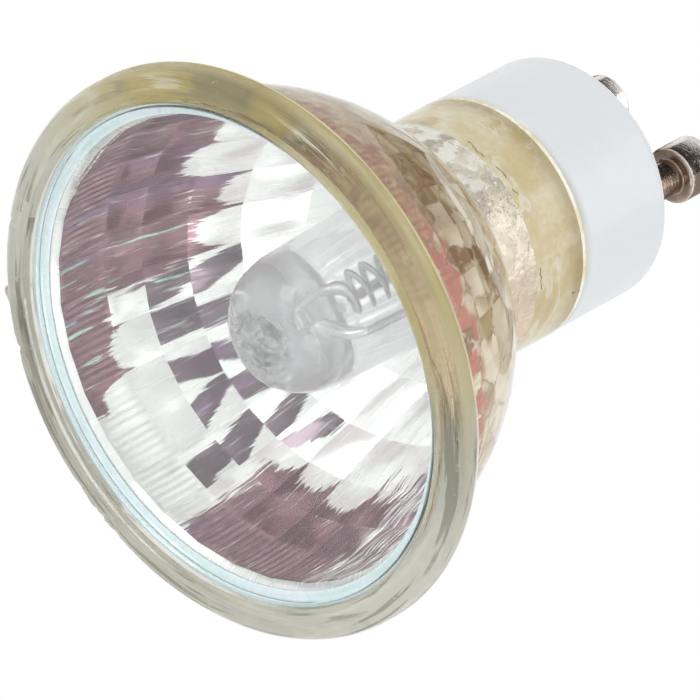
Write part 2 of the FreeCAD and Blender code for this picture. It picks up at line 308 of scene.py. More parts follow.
class Shading:
    """Adds nodes to one tree and links them."""

    def __init__(self, tree: bpy.types.NodeTree) -> None:
        """Starts on a tree."""
        self.tree = tree

    def add(self, kind: str, inputs: dict[str | int, Value] | None = None,
            **settings: object) -> bpy.types.Node:
        """Adds a node.

        Args:
            kind: Node type without its ShaderNode prefix.
            inputs: Values or source sockets by the name or number of the input.
            settings: Other properties of the node.

        Returns:
            The node.
        """
        made = self.tree.nodes.new(f"ShaderNode{kind}")
        for name, setting in settings.items():
            setattr(made, name, setting)
        for key, value in (inputs or {}).items():
            self.feed(made.inputs[key], value)
        return made

    def feed(self, socket: bpy.types.NodeSocket, value: Value) -> None:
        """Links a source to a socket, or sets the socket's value.

        Args:
            socket: The input socket.
            value: Its source or its value.
        """
        if isinstance(value, bpy.types.NodeSocket):
            self.tree.links.new(value, socket)
        elif socket.type == "RGBA":
            socket.default_value = (*value, 1.0)
        else:
            socket.default_value = value

    def maths(self, operation: str, first: Value, second: Value = 0.0,
              clamp: bool = False) -> bpy.types.NodeSocket:
        """Result of a sum on two values."""
        return self.add("Math", {0: first, 1: second}, operation=operation, use_clamp=clamp).outputs[0]

    def plus(self, base: Value, value: Value, share: float) -> bpy.types.NodeSocket:
        """A value with a share of another added."""
        return self.maths("ADD", base, self.maths("MULTIPLY", value, share))

    def parts(self, vector: Value) -> bpy.types.NodeOutputs:
        """Parts of a vector along X, Y and Z."""
        return self.add("SeparateXYZ", {0: vector}).outputs

    def towards(self, vector: Value, direction: Corner) -> bpy.types.NodeSocket:
        """How far a place lies in a direction."""
        return self.add("VectorMath", {0: vector, 1: direction}, operation="DOT_PRODUCT").outputs["Value"]

    def mix(self, share: Value, first: Value, second: Value, blend: str = "MIX") -> bpy.types.NodeSocket:
        """Blend of two colours.

        Args:
            share: Share of the second colour.
            first: First colour.
            second: Second colour.
            blend: How the second lies over the first.

        Returns:
            The blended colour.
        """
        made = self.add("Mix", data_type="RGBA", blend_type=blend)
        for index, value in ((0, share), (6, first), (7, second)):
            self.feed(made.inputs[index], value)
        return made.outputs[2]

    def band(self, value: Value, low: float, high: float, first: float = 0.0,
             last: float = 1.0) -> bpy.types.NodeSocket:
        """Smooth step of a value from one level to another.

        Args:
            value: The value.
            low: Where the step starts.
            high: Where it ends.
            first: Level before the step.
            last: Level after it.

        Returns:
            The stepped value.
        """
        inputs = {0: value, 1: low, 2: high, 3: first, 4: last}
        return self.add("MapRange", inputs, interpolation_type="SMOOTHSTEP").outputs[0]

    def noise(self, vector: Value, scale: Value, detail: float = 3.0,
              roughness: float = 0.55) -> bpy.types.NodeSocket:
        """Cloudy noise about a half.

        Args:
            vector: Place in the pattern.
            scale: Clouds in each unit of the place.
            detail: Number of finer layers.
            roughness: Weight of the finer layers.

        Returns:
            The noise's level.
        """
        inputs = {"Vector": vector, "Scale": scale, "Detail": detail, "Roughness": roughness}
        return self.add("TexNoise", inputs).outputs[0]

    def ramp(self, value: Value, stops: Sequence[tuple[float, Colour]]) -> bpy.types.NodeSocket:
        """Colour at a value along a row of stops.

        Args:
            value: The value.
            stops: Place and colour of each stop.

        Returns:
            The colour.
        """
        made = self.add("ValToRGB", {0: value})
        row = made.color_ramp.elements
        while len(row) < len(stops):
            row.new(1.0)
        for element, (place, colour) in zip(row, stops):
            element.position = place
            element.color = (*colour, 1.0)
        return made.outputs[0]

    def place(self) -> bpy.types.NodeSocket:
        """Place on the object, in metres."""
        return self.add("TexCoord").outputs["Object"]

    def attribute(self, name: str, output: str = "Fac") -> bpy.types.NodeSocket:
        """Level or vector that a mesh carries by name."""
        return self.add("Attribute", attribute_name=name).outputs[output]

    def bump(self, height: Value, distance: float, strength: float = 1.0) -> bpy.types.NodeSocket:
        """Normal of a surface with fine relief, whose depth is in millimetres."""
        inputs = {"Height": height, "Distance": distance * MM, "Strength": strength}
        return self.add("Bump", inputs).outputs[0]


class Effects:
    """Shader node groups that several finishes share, each built once."""

    def __init__(self) -> None:
        """Builds the groups."""
        self.mottle = self._mottle()
        self.speckle = self._speckle()
        self.scuff = self._scuff()
        self.rim = self._rim()

    def _group(self, name: str, inputs: dict[str, str], outputs: dict[str, str],
               ) -> tuple[Shading, bpy.types.Node, bpy.types.Node]:
        """Empty group with its sockets.

        Args:
            name: Name of the group.
            inputs: Socket types of the inputs by name.
            outputs: Socket types of the outputs by name.

        Returns:
            The group's shading, its input node and its output node.
        """
        tree = bpy.data.node_groups.new(name, "ShaderNodeTree")
        for way, sockets in (("INPUT", inputs), ("OUTPUT", outputs)):
            for socket, kind in sockets.items():
                tree.interface.new_socket(socket, in_out=way, socket_type=f"NodeSocket{kind}")
        return Shading(tree), tree.nodes.new("NodeGroupInput"), tree.nodes.new("NodeGroupOutput")

    def _mottle(self) -> bpy.types.NodeTree:
        """Two tones that drift into each other over coarse and fine clouds.

        Returns:
            The group.
        """
        shading, source, sink = self._group(
            "mottled_tone", {"Light": "Color", "Dark": "Color", "Scale": "Float"},
            {"Tone": "Color", "Cloud": "Float"})
        place = shading.place()
        coarse = shading.noise(place, source.outputs["Scale"], 2.0)
        fine = shading.noise(place, shading.maths("MULTIPLY", source.outputs["Scale"], 7.0), 3.0)
        cloud = shading.plus(shading.maths("MULTIPLY", coarse, 0.7), fine, 0.3)
        share = shading.band(cloud, 0.35, 0.65)
        shading.feed(sink.inputs["Tone"], shading.mix(share, source.outputs["Light"], source.outputs["Dark"]))
        shading.feed(sink.inputs["Cloud"], share)
        return shading.tree

    def _speckle(self) -> bpy.types.NodeTree:
        """Small scattered specks.

        Returns:
            The group.
        """
        shading, source, sink = self._group(
            "scattered_specks", {"Scale": "Float", "Size": "Float", "Share": "Float"}, {"Specks": "Float"})
        cells = shading.add("TexVoronoi", {"Vector": shading.place(), "Scale": source.outputs["Scale"]})
        inside = shading.maths("LESS_THAN", cells.outputs["Distance"], source.outputs["Size"])
        red = shading.add("SeparateColor", {0: cells.outputs["Color"]}).outputs[0]
        chosen = shading.maths("LESS_THAN", red, source.outputs["Share"])
        shading.feed(sink.inputs["Specks"], shading.maths("MULTIPLY", inside, chosen))
        return shading.tree

    def _scuff(self) -> bpy.types.NodeTree:
        """Fine scratches that run round the axis, with dents among them.

        Returns:
            The group.
        """
        shading, source, sink = self._group(
            "handling_scuffs", {"Scale": "Float", "Stretch": "Float"}, {"Scuffs": "Float", "Relief": "Float"})
        place = shading.place()
        parts = shading.parts(place)
        turn = shading.maths("ARCTAN2", parts[1], parts[0])
        radius = shading.add("VectorMath", {0: place}, operation="LENGTH").outputs["Value"]
        along = shading.maths("MULTIPLY", turn, source.outputs["Stretch"])
        spun = shading.add("CombineXYZ", {0: along, 1: radius, 2: parts[2]}).outputs[0]
        lines = shading.noise(spun, source.outputs["Scale"], 4.0, 0.7)
        dents = shading.noise(place, source.outputs["Scale"], 3.0, 0.6)
        shading.feed(sink.inputs["Scuffs"], shading.band(lines, 0.58, 0.7))
        shading.feed(sink.inputs["Relief"], shading.plus(lines, dents, 0.5))
        return shading.tree

    def _rim(self) -> bpy.types.NodeTree:
        """Ripples that run round the axis, and the side of the glass that is stained olive.

        Returns:
            The group.
        """
        shading, source, sink = self._group(
            "rim_marks", {"Scale": "Float"}, {"Ripple": "Float", "Stained": "Float"})
        parts = shading.parts(shading.place())
        flat = shading.add("CombineXYZ", {0: parts[0], 1: parts[1]}).outputs[0]
        radius = shading.add("VectorMath", {0: flat}, operation="LENGTH").outputs["Value"]
        turn = shading.maths("MULTIPLY", shading.maths("ARCTAN2", parts[1], parts[0]), 0.0012)
        spun = shading.add("CombineXYZ", {0: turn, 1: radius, 2: parts[2]}).outputs[0]
        side = shading.towards(flat, OLIVE_SIDE)
        clouds = shading.maths("SUBTRACT", shading.noise(flat, 90.0, 2.0), 0.5)
        clouds = shading.maths("MULTIPLY", clouds, 0.02)
        shading.feed(sink.inputs["Ripple"], shading.noise(spun, source.outputs["Scale"], 3.0))
        shading.feed(sink.inputs["Stained"], shading.band(shading.maths("ADD", side, clouds), 0.003, 0.018))
        return shading.tree


@dataclass
class Surface:
    """Colour, roughness and relief of a surface while its finish is put together."""

    colour: Value
    rough: Value
    relief: Value


@dataclass(frozen=True)
class Finish:
    """A surface finish, which makes one material."""

    name: str

    def shader(self, shading: Shading, effects: Effects) -> bpy.types.Node:
        """Shader of the surface, which each finish makes in its own way."""
        raise NotImplementedError

    def material(self, effects: Effects) -> bpy.types.Material:
        """The material of this finish.

        Args:
            effects: Shared effects.

        Returns:
            The material.
        """
        material = bpy.data.materials.new(self.name)
        material.use_nodes = True
        material.node_tree.nodes.clear()
        shading = Shading(material.node_tree)
        output = shading.add("OutputMaterial")
        shading.feed(output.inputs["Surface"], self.shader(shading, effects).outputs[0])
        return material

    def place_group(self, shading: Shading, tree: bpy.types.NodeTree,
                    **inputs: Value) -> bpy.types.NodeOutputs:
        """Places a shared effect in this material with its own values.

        Args:
            shading: The material's shading.
            tree: The effect's group.
            inputs: Values or source sockets by the name of the input.

        Returns:
            The effect's outputs.
        """
        made = shading.add("Group", node_tree=tree)
        for socket, value in inputs.items():
            shading.feed(made.inputs[socket], value)
        return made.outputs


@dataclass(frozen=True)
class ClearGlass(Finish):
    """Glass with faint waves and scuffs, tinted by its depth where it is thick."""

    tint: Colour = (1.0, 1.0, 1.0)
    depth_colour: Colour = (0.5, 0.5, 0.5)
    depth_density: float = 0.0
    ior: float = 1.5
    wave_scale: float = 160.0
    wave_depth: float = 0.02
    roughness: tuple[float, float] = (0.0, 0.25)
    scratch: float = 0.9
    frost: float = 0.0
    painted_fold_shading: Colour = (0.6, 0.61, 0.62)
    milk: float = 0.0
    lets_lamps_in: bool = False
    rim_tint: Colour = (1.0, 1.0, 1.0)
    rim_stain: Colour = (1.0, 1.0, 1.0)
    rim_line: Colour = (1.0, 1.0, 1.0)
    rim_height: float = 0.0
    rim_haze: float = 0.0
    tone_scale: float = 220.0
    scuff_scale: float = 900.0
    scuff_stretch: float = 0.02
    scuff_relief: float = 0.06
    ripple_scale: float = 1300.0
    ripple_relief: float = 2.4
    chip_roughness: float = 0.5
    grit_scale: float = 2500.0
    grit_relief: float = 6.0
    fold_scale: float = 700.0
    fold_relief: float = 30.0

    def mark_rim(self, shading: Shading, effects: Effects, surface: Surface) -> None:
        """Adds the rim's ripples, olive stain, haze and chips.

        Args:
            shading: The material's shading.
            effects: Shared effects.
            surface: The surface, which is changed.
        """
        marks = self.place_group(shading, effects.rim, Scale=self.ripple_scale)
        height = shading.parts(shading.place())[2]
        rim = shading.band(height, (self.rim_height + 0.5) * MM, (self.rim_height + 0.1) * MM)
        ripple = marks["Ripple"]
        drawn = shading.maths("MULTIPLY", shading.band(ripple, 0.53, 0.58),
                              shading.band(marks["Stained"], 0.0, 1.0, 1.0, 0.25))
        edge = shading.mix(drawn, shading.mix(marks["Stained"], self.rim_tint, self.rim_stain), self.rim_line)
        surface.colour = shading.mix(rim, surface.colour, edge)
        chip = shading.attribute("chip")
        haze = shading.band(height, 0.4 * MM, 1.6 * MM, 0.1 * self.rim_haze, self.rim_haze)
        haze = shading.maths("MULTIPLY", rim, haze)
        surface.rough = shading.maths("ADD", surface.rough, shading.plus(haze, chip, self.chip_roughness))
        ridges = shading.maths("MULTIPLY", rim, ripple)
        surface.relief = shading.plus(surface.relief, ridges, self.ripple_relief)
        grit = shading.noise(shading.place(), self.grit_scale, 3.0)
        surface.relief = shading.plus(surface.relief, shading.maths("MULTIPLY", chip, grit), self.grit_relief)

    def fold_nose(self, shading: Shading, surface: Surface) -> None:
        """Adds the folds of a crumpled nose, with painted shade in its creases.

        Args:
            shading: The material's shading.
            surface: The surface, which is changed.
        """
        folds = shading.noise(shading.place(), self.fold_scale, 2.0, 0.6)
        nose = shading.attribute("frost")
        surface.rough = shading.plus(surface.rough, nose, self.frost)
        # Painted shade: the creases of the nose turn grey.
        creased = shading.maths("MULTIPLY", nose, shading.band(folds, 0.5, 0.58))
        surface.colour = shading.mix(creased, surface.colour, self.painted_fold_shading)
        creases = shading.maths("MULTIPLY", nose, folds)
        surface.relief = shading.plus(surface.relief, creases, self.fold_relief)

    def shader(self, shading: Shading, effects: Effects) -> bpy.types.Node:
        """Shader of the glass.

        Args:
            shading: The material's shading.
            effects: Shared effects.

        Returns:
            The shader node.
        """
        scuff = self.place_group(shading, effects.scuff, Scale=self.scuff_scale, Stretch=self.scuff_stretch)
        mottle = self.place_group(shading, effects.mottle, Light=self.tint, Dark=dimmed(self.tint, 0.975),
                                  Scale=self.tone_scale)
        rough = shading.band(scuff["Scuffs"], 0.0, 1.0, *self.roughness)
        waves = shading.noise(shading.place(), self.wave_scale, 2.0)
        surface = Surface(mottle["Tone"], rough, shading.plus(waves, scuff["Relief"], self.scuff_relief))
        if self.rim_height > 0:
            self.mark_rim(shading, effects, surface)
        if self.frost > 0:
            self.fold_nose(shading, surface)
        glass = shading.add("BsdfPrincipled", {
            "Base Color": shading.mix(scuff["Scuffs"], surface.colour, dimmed(self.tint, self.scratch)),
            "Roughness": surface.rough,
            "IOR": self.ior,
            "Transmission Weight": 1.0 - self.milk,
            "Normal": shading.bump(surface.relief, self.wave_depth),
        })
        if not self.lets_lamps_in:
            return glass
        clear = shading.add("BsdfTransparent", {"Color": dimmed(self.tint, 0.95)})
        shadow = shading.add("LightPath").outputs["Is Shadow Ray"]
        return shading.add("MixShader", {0: shadow, 1: glass.outputs[0], 2: clear.outputs[0]})

    def material(self, effects: Effects) -> bpy.types.Material:
        """The material of this glass, with the colour that its depth gives.

        Args:
            effects: Shared effects.

        Returns:
            The material.
        """
        material = super().material(effects)
        if self.depth_density > 0:
            shading = Shading(material.node_tree)
            inputs = {"Color": self.depth_colour, "Density": self.depth_density}
            depth = shading.add("VolumeAbsorption", inputs)
            output = material.node_tree.nodes["Material Output"]
            shading.feed(output.inputs["Volume"], depth.outputs[0])
        return material


@dataclass(frozen=True)
class MirrorFilm(Finish):
    """Dichroic film: silver and mauve from the front, olive, brown and coral from behind, with painted
    reflections in front and painted highlights and shade behind.
    """

    silver: Colour = (0.94, 0.955, 0.935)
    pale: Colour = (0.74, 0.76, 0.73)
    mauve: Colour = (0.31, 0.165, 0.205)
    violet: Colour = (0.27, 0.17, 0.27)
    dark_facet_reflection: Colour = (0.2, 0.155, 0.18)
    green: Colour = (0.5, 0.72, 0.62)
    olive: Colour = (0.56, 0.46, 0.27)
    brown: Colour = (0.36, 0.23, 0.15)
    coral: Colour = (0.64, 0.25, 0.21)
    cream: Colour = (0.97, 0.92, 0.82)
    root: Colour = (0.93, 0.86, 0.68)
    brushed_side: Corner = (-0.956, 0.292, -1.5)
    shaded_side: Corner = (-0.2, -0.98, 0.0)
    flake_scale: float = 290.0
    flake_warp: float = 0.004

    def front(self, shading: Shading) -> bpy.types.Node:
        """Shader of the side that faces the capsule, whose silver and dark tones are painted reflections.

        Args:
            shading: The material's shading.

        Returns:
            The shader node.
        """
        along = shading.attribute("flute_space", "Vector")
        streaks = shading.noise(along, 2.4, 2.0, 0.6)
        fine = shading.noise(along, 5.5, 1.0, 0.5)
        uneven = shading.plus(shading.maths("MULTIPLY", streaks, 0.5), fine, 0.7)
        # Painted reflection: the tone attribute gives dark mauve film where the mirror would reflect dark
        # surroundings and silver where it would reflect white.
        ragged = shading.maths("ADD", shading.attribute("tone"), shading.maths("SUBTRACT", uneven, 0.6))
        level = shading.band(ragged, 0.4, 0.6)
        lines = shading.maths("MULTIPLY", shading.band(fine, 0.58, 0.66), shading.band(streaks, 0.42, 0.58))
        level = shading.maths("ADD", level, shading.maths("MULTIPLY", lines, 0.4), clamp=True)
        tints = shading.noise(along, 0.45, 2.0)
        dark = shading.mix(shading.attribute("dark_facet_reflection"), self.mauve, self.dark_facet_reflection)
        dark = shading.mix(shading.band(tints, 0.58, 0.68, 0.0, 0.8), dark, self.violet)
        dark = shading.mix(shading.band(fine, 0.3, 0.45, 0.3, 0.0), dark, dimmed(self.dark_facet_reflection, 0.7))
        # Painted reflection: the silver drifts between brighter and paler silver.
        painted_reflection_mix = shading.band(shading.noise(along, 1.1, 4.0, 0.7), 0.56, 0.7)
        colour = shading.mix(level, dark, shading.mix(painted_reflection_mix, self.silver, self.pale))
        side = shading.towards(along, self.brushed_side)
        brushed = shading.maths("MULTIPLY", shading.band(side, 19.0, 19.6), 0.1)
        flecks = shading.maths("ADD", shading.noise(along, 1.7, 3.0), brushed)
        glint = shading.maths("MULTIPLY", shading.band(flecks, 0.67, 0.72), shading.band(ragged, 0.75, 0.35))
        colour = shading.mix(glint, colour, self.green)
        return shading.add("BsdfPrincipled", {
            "Base Color": colour,
            "Metallic": shading.band(level, 0.0, 1.0, 0.9, 0.45),
            "Roughness": shading.band(streaks, 0.3, 0.7, 0.12, 0.3),
            "Normal": shading.bump(streaks, 0.004),
        })

    def back(self, shading: Shading) -> bpy.types.Node:
        """Shader of the side that shows through the glass, with painted highlights and shade in its flakes
        and on one side.

        Args:
            shading: The material's shading.

        Returns:
            The shader node.
        """
        place = shading.place()
        cloud = shading.noise(place, 230.0, 2.0, 0.5)
        fine = shading.noise(place, 900.0, 3.0, 0.6)
        uneven = shading.maths("SUBTRACT", cloud, 0.5)
        warp = shading.add("TexNoise", {"Vector": place, "Scale": 260.0, "Detail": 1.0}).outputs["Color"]
        warped = shading.add("VectorMath", {0: warp, 1: (self.flake_warp,) * 3, 2: place},
                             operation="MULTIPLY_ADD").outputs[0]
        cells = {"Vector": warped, "Scale": self.flake_scale}
        flakes = shading.add("TexVoronoi", cells).outputs
        seams = shading.add("TexVoronoi", cells, feature="DISTANCE_TO_EDGE").outputs["Distance"]
        chance = shading.add("SeparateColor", {0: flakes["Color"]}).outputs[0]
        shade = shading.plus(shading.maths("MULTIPLY", chance, 0.6), shading.attribute("back_tone"), 0.4)
        shade = shading.plus(shade, uneven, 0.9)
        # Painted highlights and shade: each flake runs from brown through olive to cream like a lit drop.
        painted_drop_highlights = shading.ramp(shade, [
            (0.2, self.brown), (0.36, self.olive), (0.5, self.cream), (0.75, self.cream), (0.9, self.olive)])
        depth = shading.parts(shading.attribute("flute_space", "Vector"))[2]
        fluted = shading.band(shading.plus(depth, uneven, 0.5), 0.52, 0.42)
        low = shading.band(shading.plus(shading.parts(place)[1], uneven, 0.02), 0.002, 0.016)
        blush = shading.mix(low, self.coral, shading.mix(0.5, self.coral, self.cream))
        red = shading.ramp(shade, [
            (0.24, self.brown), (0.34, self.coral), (0.62, self.coral), (0.7, self.olive), (0.8, self.cream)])
        past_brown = shading.band(shade, 0.24, 0.34)
        red = shading.mix(past_brown, red, shading.mix(shading.band(shade, 0.62, 0.7), blush, red))
        colour = shading.mix(fluted, painted_drop_highlights, red)
        # Painted edge light and shade: brown and cream lines along the flakes' outlines.
        outline = shading.band(seams, 0.07, 0.01, 0.0, 0.6)
        for first, last, tone in ((0.44, 0.52, self.brown), (0.5, 0.4, self.cream)):
            lined = shading.maths("MULTIPLY", outline, shading.band(fine, first, last))
            colour = shading.mix(lined, colour, tone)
        colour = shading.mix(shading.band(depth, 0.3, 0.24), colour, self.root)
        # Painted shade: brown and olive towards the shaded side.
        high = shading.towards(place, self.shaded_side)
        high = shading.band(shading.plus(high, uneven, 0.012), 0.008, 0.017, 0.0, 0.65)
        colour = shading.mix(high, colour, shading.mix(shading.band(fine, 0.4, 0.6), self.brown, self.olive))
        return shading.add("BsdfPrincipled", {
            "Base Color": shading.mix(shading.band(fine, 0.55, 0.75, 0.0, 0.35), colour, self.cream),
            "Metallic": 0.25,
            "Roughness": shading.band(fine, 0.3, 0.7, 0.3, 0.5),
            "Normal": shading.bump(cloud, 0.25),
        })

    def shader(self, shading: Shading, effects: Effects) -> bpy.types.Node:
        """Shader of both sides of the film.

        Args:
            shading: The material's shading.
            effects: Shared effects, none of which the film has.

        Returns:
            The shader node.
        """
        behind = shading.add("NewGeometry").outputs["Backfacing"]
        return shading.add("MixShader", {
            0: behind, 1: self.front(shading).outputs[0], 2: self.back(shading).outputs[0]})


@dataclass(frozen=True)
class PressedLedge(Finish):
    """Satin back of the rim as it shows through the glass, with fine lines from the mould."""

    plain: Colour = (0.93, 0.93, 0.93)
    olive: Colour = (0.66, 0.58, 0.28)
    line: Colour = (0.36, 0.34, 0.28)
    glint: Colour = (1.0, 1.0, 0.98)

    def shader(self, shading: Shading, effects: Effects) -> bpy.types.Node:
        """Shader of the ledge.

        Args:
            shading: The material's shading.
            effects: Shared effects.

        Returns:
            The shader node.
        """
        marks = self.place_group(shading, effects.rim, Scale=1900.0)
        mottle = self.place_group(
            shading, effects.mottle, Light=self.plain, Dark=dimmed(self.plain, 0.9), Scale=150.0)
        colour = shading.mix(marks["Stained"], mottle["Tone"], self.olive)
        colour = shading.mix(shading.band(marks["Ripple"], 0.54, 0.66, 0.0, 0.75), colour, self.line)
        colour = shading.mix(shading.band(marks["Ripple"], 0.46, 0.36, 0.0, 0.8), colour, self.glint)
        return shading.add("BsdfPrincipled", {
            "Base Color": colour,
            "Roughness": shading.band(marks["Ripple"], 0.3, 0.7, 0.3, 0.5),
            "Normal": shading.bump(marks["Ripple"], 0.06),
        })


@dataclass(frozen=True)
class NeckCoat(Finish):
    """Thin broken film on the neck's bore, which looks like spilt quicksilver through the glass."""

    sheen: Colour = (0.87, 0.82, 0.73)
    shade: Colour = (0.46, 0.42, 0.38)
    glint: Colour = (0.95, 0.97, 1.0)
    rose: Colour = (0.93, 0.77, 0.65)
    glint_side: Corner = (-0.35, -0.94, 0.0)

    def shader(self, shading: Shading, effects: Effects) -> bpy.types.Node:
        """Shader of the coat.

        Args:
            shading: The material's shading.
            effects: Shared effects.

        Returns:
            The shader node.
        """
        mottle = self.place_group(shading, effects.mottle, Light=self.sheen, Dark=self.shade, Scale=230.0)
        dots = self.place_group(shading, effects.speckle, Scale=5200.0, Size=0.42, Share=0.4)["Specks"]
        place = shading.place()
        clusters = shading.band(shading.noise(place, 200.0, 2.0), 0.52, 0.6)
        parts = shading.parts(place)
        low = shading.band(shading.maths("ADD", parts[1], parts[0]), -0.002, 0.014)
        colour = shading.mix(low, mottle["Tone"], self.rose)
        colour = shading.mix(shading.maths("MULTIPLY", dots, clusters), colour, dimmed(self.shade, 0.6))
        # Painted glints: small bright specks in the glint colour.
        sparks = self.place_group(shading, effects.speckle, Scale=2400.0, Size=0.3, Share=0.08)["Specks"]
        colour = shading.mix(sparks, colour, self.glint)
        relief = shading.noise(place, 700.0, 3.0)
        # Painted highlight: a blue-white glint along one side of the neck.
        glint_band = shading.towards(place, self.glint_side)
        glint_band = shading.band(glint_band, 0.0055, 0.0075)
        painted_glint = shading.maths("MULTIPLY", glint_band, shading.band(relief, 0.42, 0.56))
        colour = shading.mix(painted_glint, colour, self.glint)
        return shading.add("BsdfPrincipled", {
            "Base Color": colour,
            "Metallic": shading.band(mottle["Cloud"], 0.2, 0.8, 0.5, 0.8),
            "Roughness": shading.band(relief, 0.3, 0.7, 0.12, 0.4),
            "Normal": shading.bump(relief, 0.2),
        })


@dataclass(frozen=True)
class MatteMineral(Finish):
    """Cement, adhesive or ceramic: two drifting tones with specks."""

    light: Colour = (0.8, 0.8, 0.8)
    dark: Colour = (0.7, 0.7, 0.7)
    speck: Colour = (0.1, 0.09, 0.08)
    tone_scale: float = 150.0
    speck_scale: float = 700.0
    speck_size: float = 0.12
    speck_share: float = 0.05
    roughness: tuple[float, float] = (0.4, 0.6)
    grain_scale: float = 1800.0
    grain_depth: float = 0.02
    glow: float = 0.0
    coat: float = 0.0
    cracks: tuple[float, ...] = ()
    painted_fold_shading: Colour = (1.0, 1.0, 1.0)
    fold_scale: float = 0.0
    fold_slant: Corner = (1.0, 0.5, 1.5)
    crack_wander: float = 3.0

    def folds(self, shading: Shading, colour: bpy.types.NodeSocket) -> bpy.types.NodeSocket:
        """Adds painted highlights on the crests and painted shade in the hollows of folds that lie slantwise
        round the axis.

        Args:
            shading: The material's shading.
            colour: Colour without folds.

        Returns:
            The colour with the folds' painted highlights and shade.
        """
        slant = shading.add("VectorMath", {0: shading.place(), 1: self.fold_slant},
                            operation="MULTIPLY").outputs[0]
        swell = shading.noise(slant, self.fold_scale, 4.0, 0.6)
        crest = shading.maths("ABSOLUTE", shading.maths("SUBTRACT", swell, 0.5))
        hollow_shade = shading.mix(shading.band(swell, 0.52, 0.64, 0.0, 0.9), colour, dimmed(self.dark, 0.85))
        return shading.mix(shading.band(crest, 0.03, 0.0, 0.0, 0.9), hollow_shade, self.painted_fold_shading)

    def crack(self, shading: Shading, height: float) -> bpy.types.NodeSocket:
        """Broken line that wanders round the axis.

        Args:
            shading: The material's shading.
            height: Height about which it wanders, in millimetres.

        Returns:
            The line's mask.
        """
        parts = shading.parts(shading.place())
        flat = shading.add("CombineXYZ", {0: parts[0], 1: parts[1], 2: height * MM}).outputs[0]
        uneven = shading.maths("SUBTRACT", shading.noise(flat, 200.0, 6.0, 0.7), 0.5)
        wander = shading.maths("MULTIPLY", uneven, self.crack_wander * MM)
        middle = shading.maths("ADD", wander, height * MM)
        away = shading.maths("ABSOLUTE", shading.maths("SUBTRACT", parts[2], middle))
        broken = shading.band(shading.noise(flat, 420.0, 4.0, 0.7), 0.5, 0.6)
        return shading.maths("MULTIPLY", shading.band(away, 0.08 * MM, 0.03 * MM), broken)

    def shader(self, shading: Shading, effects: Effects) -> bpy.types.Node:
        """Shader of the mineral.

        Args:
            shading: The material's shading.
            effects: Shared effects.

        Returns:
            The shader node.
        """
        mottle = self.place_group(
            shading, effects.mottle, Light=self.light, Dark=self.dark, Scale=self.tone_scale)
        specks = self.place_group(shading, effects.speckle, Scale=self.speck_scale, Size=self.speck_size,
                                  Share=self.speck_share)["Specks"]
        grain = shading.noise(shading.place(), self.grain_scale, 3.0)
        colour = mottle["Tone"]
        if self.fold_scale > 0:
            colour = self.folds(shading, colour)
        colour = shading.mix(specks, colour, self.speck)
        for height in self.cracks:
            colour = shading.mix(self.crack(shading, height), colour, dimmed(self.speck, 0.2))
        return shading.add("BsdfPrincipled", {
            "Base Color": colour,
            "Roughness": shading.band(grain, 0.3, 0.7, *self.roughness),
            "Subsurface Weight": self.glow,
            "Subsurface Radius": (1.0, 0.9, 0.8),
            "Subsurface Scale": 0.8 * MM,
            "Coat Weight": self.coat,
            "Normal": shading.bump(grain, self.grain_depth),
        })


@dataclass(frozen=True)
class TurnedMetal(Finish):
    """Plated or drawn metal with turning marks, stains, scratches and a painted brownish reflection below a
    height.
    """

    plate: Colour = (0.62, 0.58, 0.54)
    stain: Colour = (0.35, 0.24, 0.18)
    stain_scale: float = 300.0
    roughness: tuple[float, float] = (0.12, 0.4)
    underside_reflection: Colour = (0.5, 0.36, 0.27)
    foot_height: float = 0.0

    def shader(self, shading: Shading, effects: Effects) -> bpy.types.Node:
        """Shader of the metal.

        Args:
            shading: The material's shading.
            effects: Shared effects.

        Returns:
            The shader node.
        """
        scuff = self.place_group(shading, effects.scuff, Scale=2600.0, Stretch=0.004)
        mottle = self.place_group(
            shading, effects.mottle, Light=self.plate, Dark=self.stain, Scale=self.stain_scale)
        colour = mottle["Tone"]
        # Painted reflection: brown below the pin head's underside, as if the plate reflected brown
        # surroundings.
        if self.foot_height > 0:
            height = shading.parts(shading.place())[2]
            warm = shading.band(height, (self.foot_height + 0.1) * MM, (self.foot_height - 0.1) * MM)
            painted_reflection_mix = shading.mix(mottle["Cloud"], self.underside_reflection, dimmed(self.underside_reflection, 0.6))
            colour = shading.mix(warm, colour, painted_reflection_mix)
        return shading.add("BsdfPrincipled", {
            "Base Color": shading.mix(scuff["Scuffs"], colour, self.stain),
            "Metallic": 1.0,
            "Roughness": shading.band(scuff["Scuffs"], 0.0, 1.0, *self.roughness),
            "Normal": shading.bump(scuff["Relief"], 0.02),
        })


@dataclass(frozen=True)
class EdgeSwell:
    """Stretch of the mirror's front edge where its bare margin is wider or narrower, in degrees."""

    centre: float
    spread: float
    rise: float
    power: int

    def at(self, azimuth: np.ndarray) -> np.ndarray:
        """How much the margin grows at each direction."""
        return self.rise * np.exp(-((azimuth - self.centre) / self.spread) ** self.power)


@dataclass(frozen=True)
class DarkReflectionZone:
    """Stretch of the mirror where painted dark reflection, in the film's mauve, runs back from the front
    edge, about a direction.
    """

    centre: float
    spread: float
    reach: float
    fade: float = 6.0
    most: float = 1.0

    def at(self, azimuth: np.ndarray, angle: np.ndarray, ends: np.ndarray) -> np.ndarray:
        """Darkness from -1 to 1.

        Args:
            azimuth: Directions in degrees.
            angle: Angles on the section in degrees.
            ends: How much further than its reach the film runs at each place, in degrees.

        Returns:
            The darkness at each place, which is 0 on the zone's edge.
        """
        away = np.abs((azimuth - self.centre + 180.0) % 360.0 - 180.0)
        inside = np.minimum((self.spread - away) / self.fade, (self.reach + ends - angle) / 4.0)
        return np.clip(inside, -1.0, self.most)


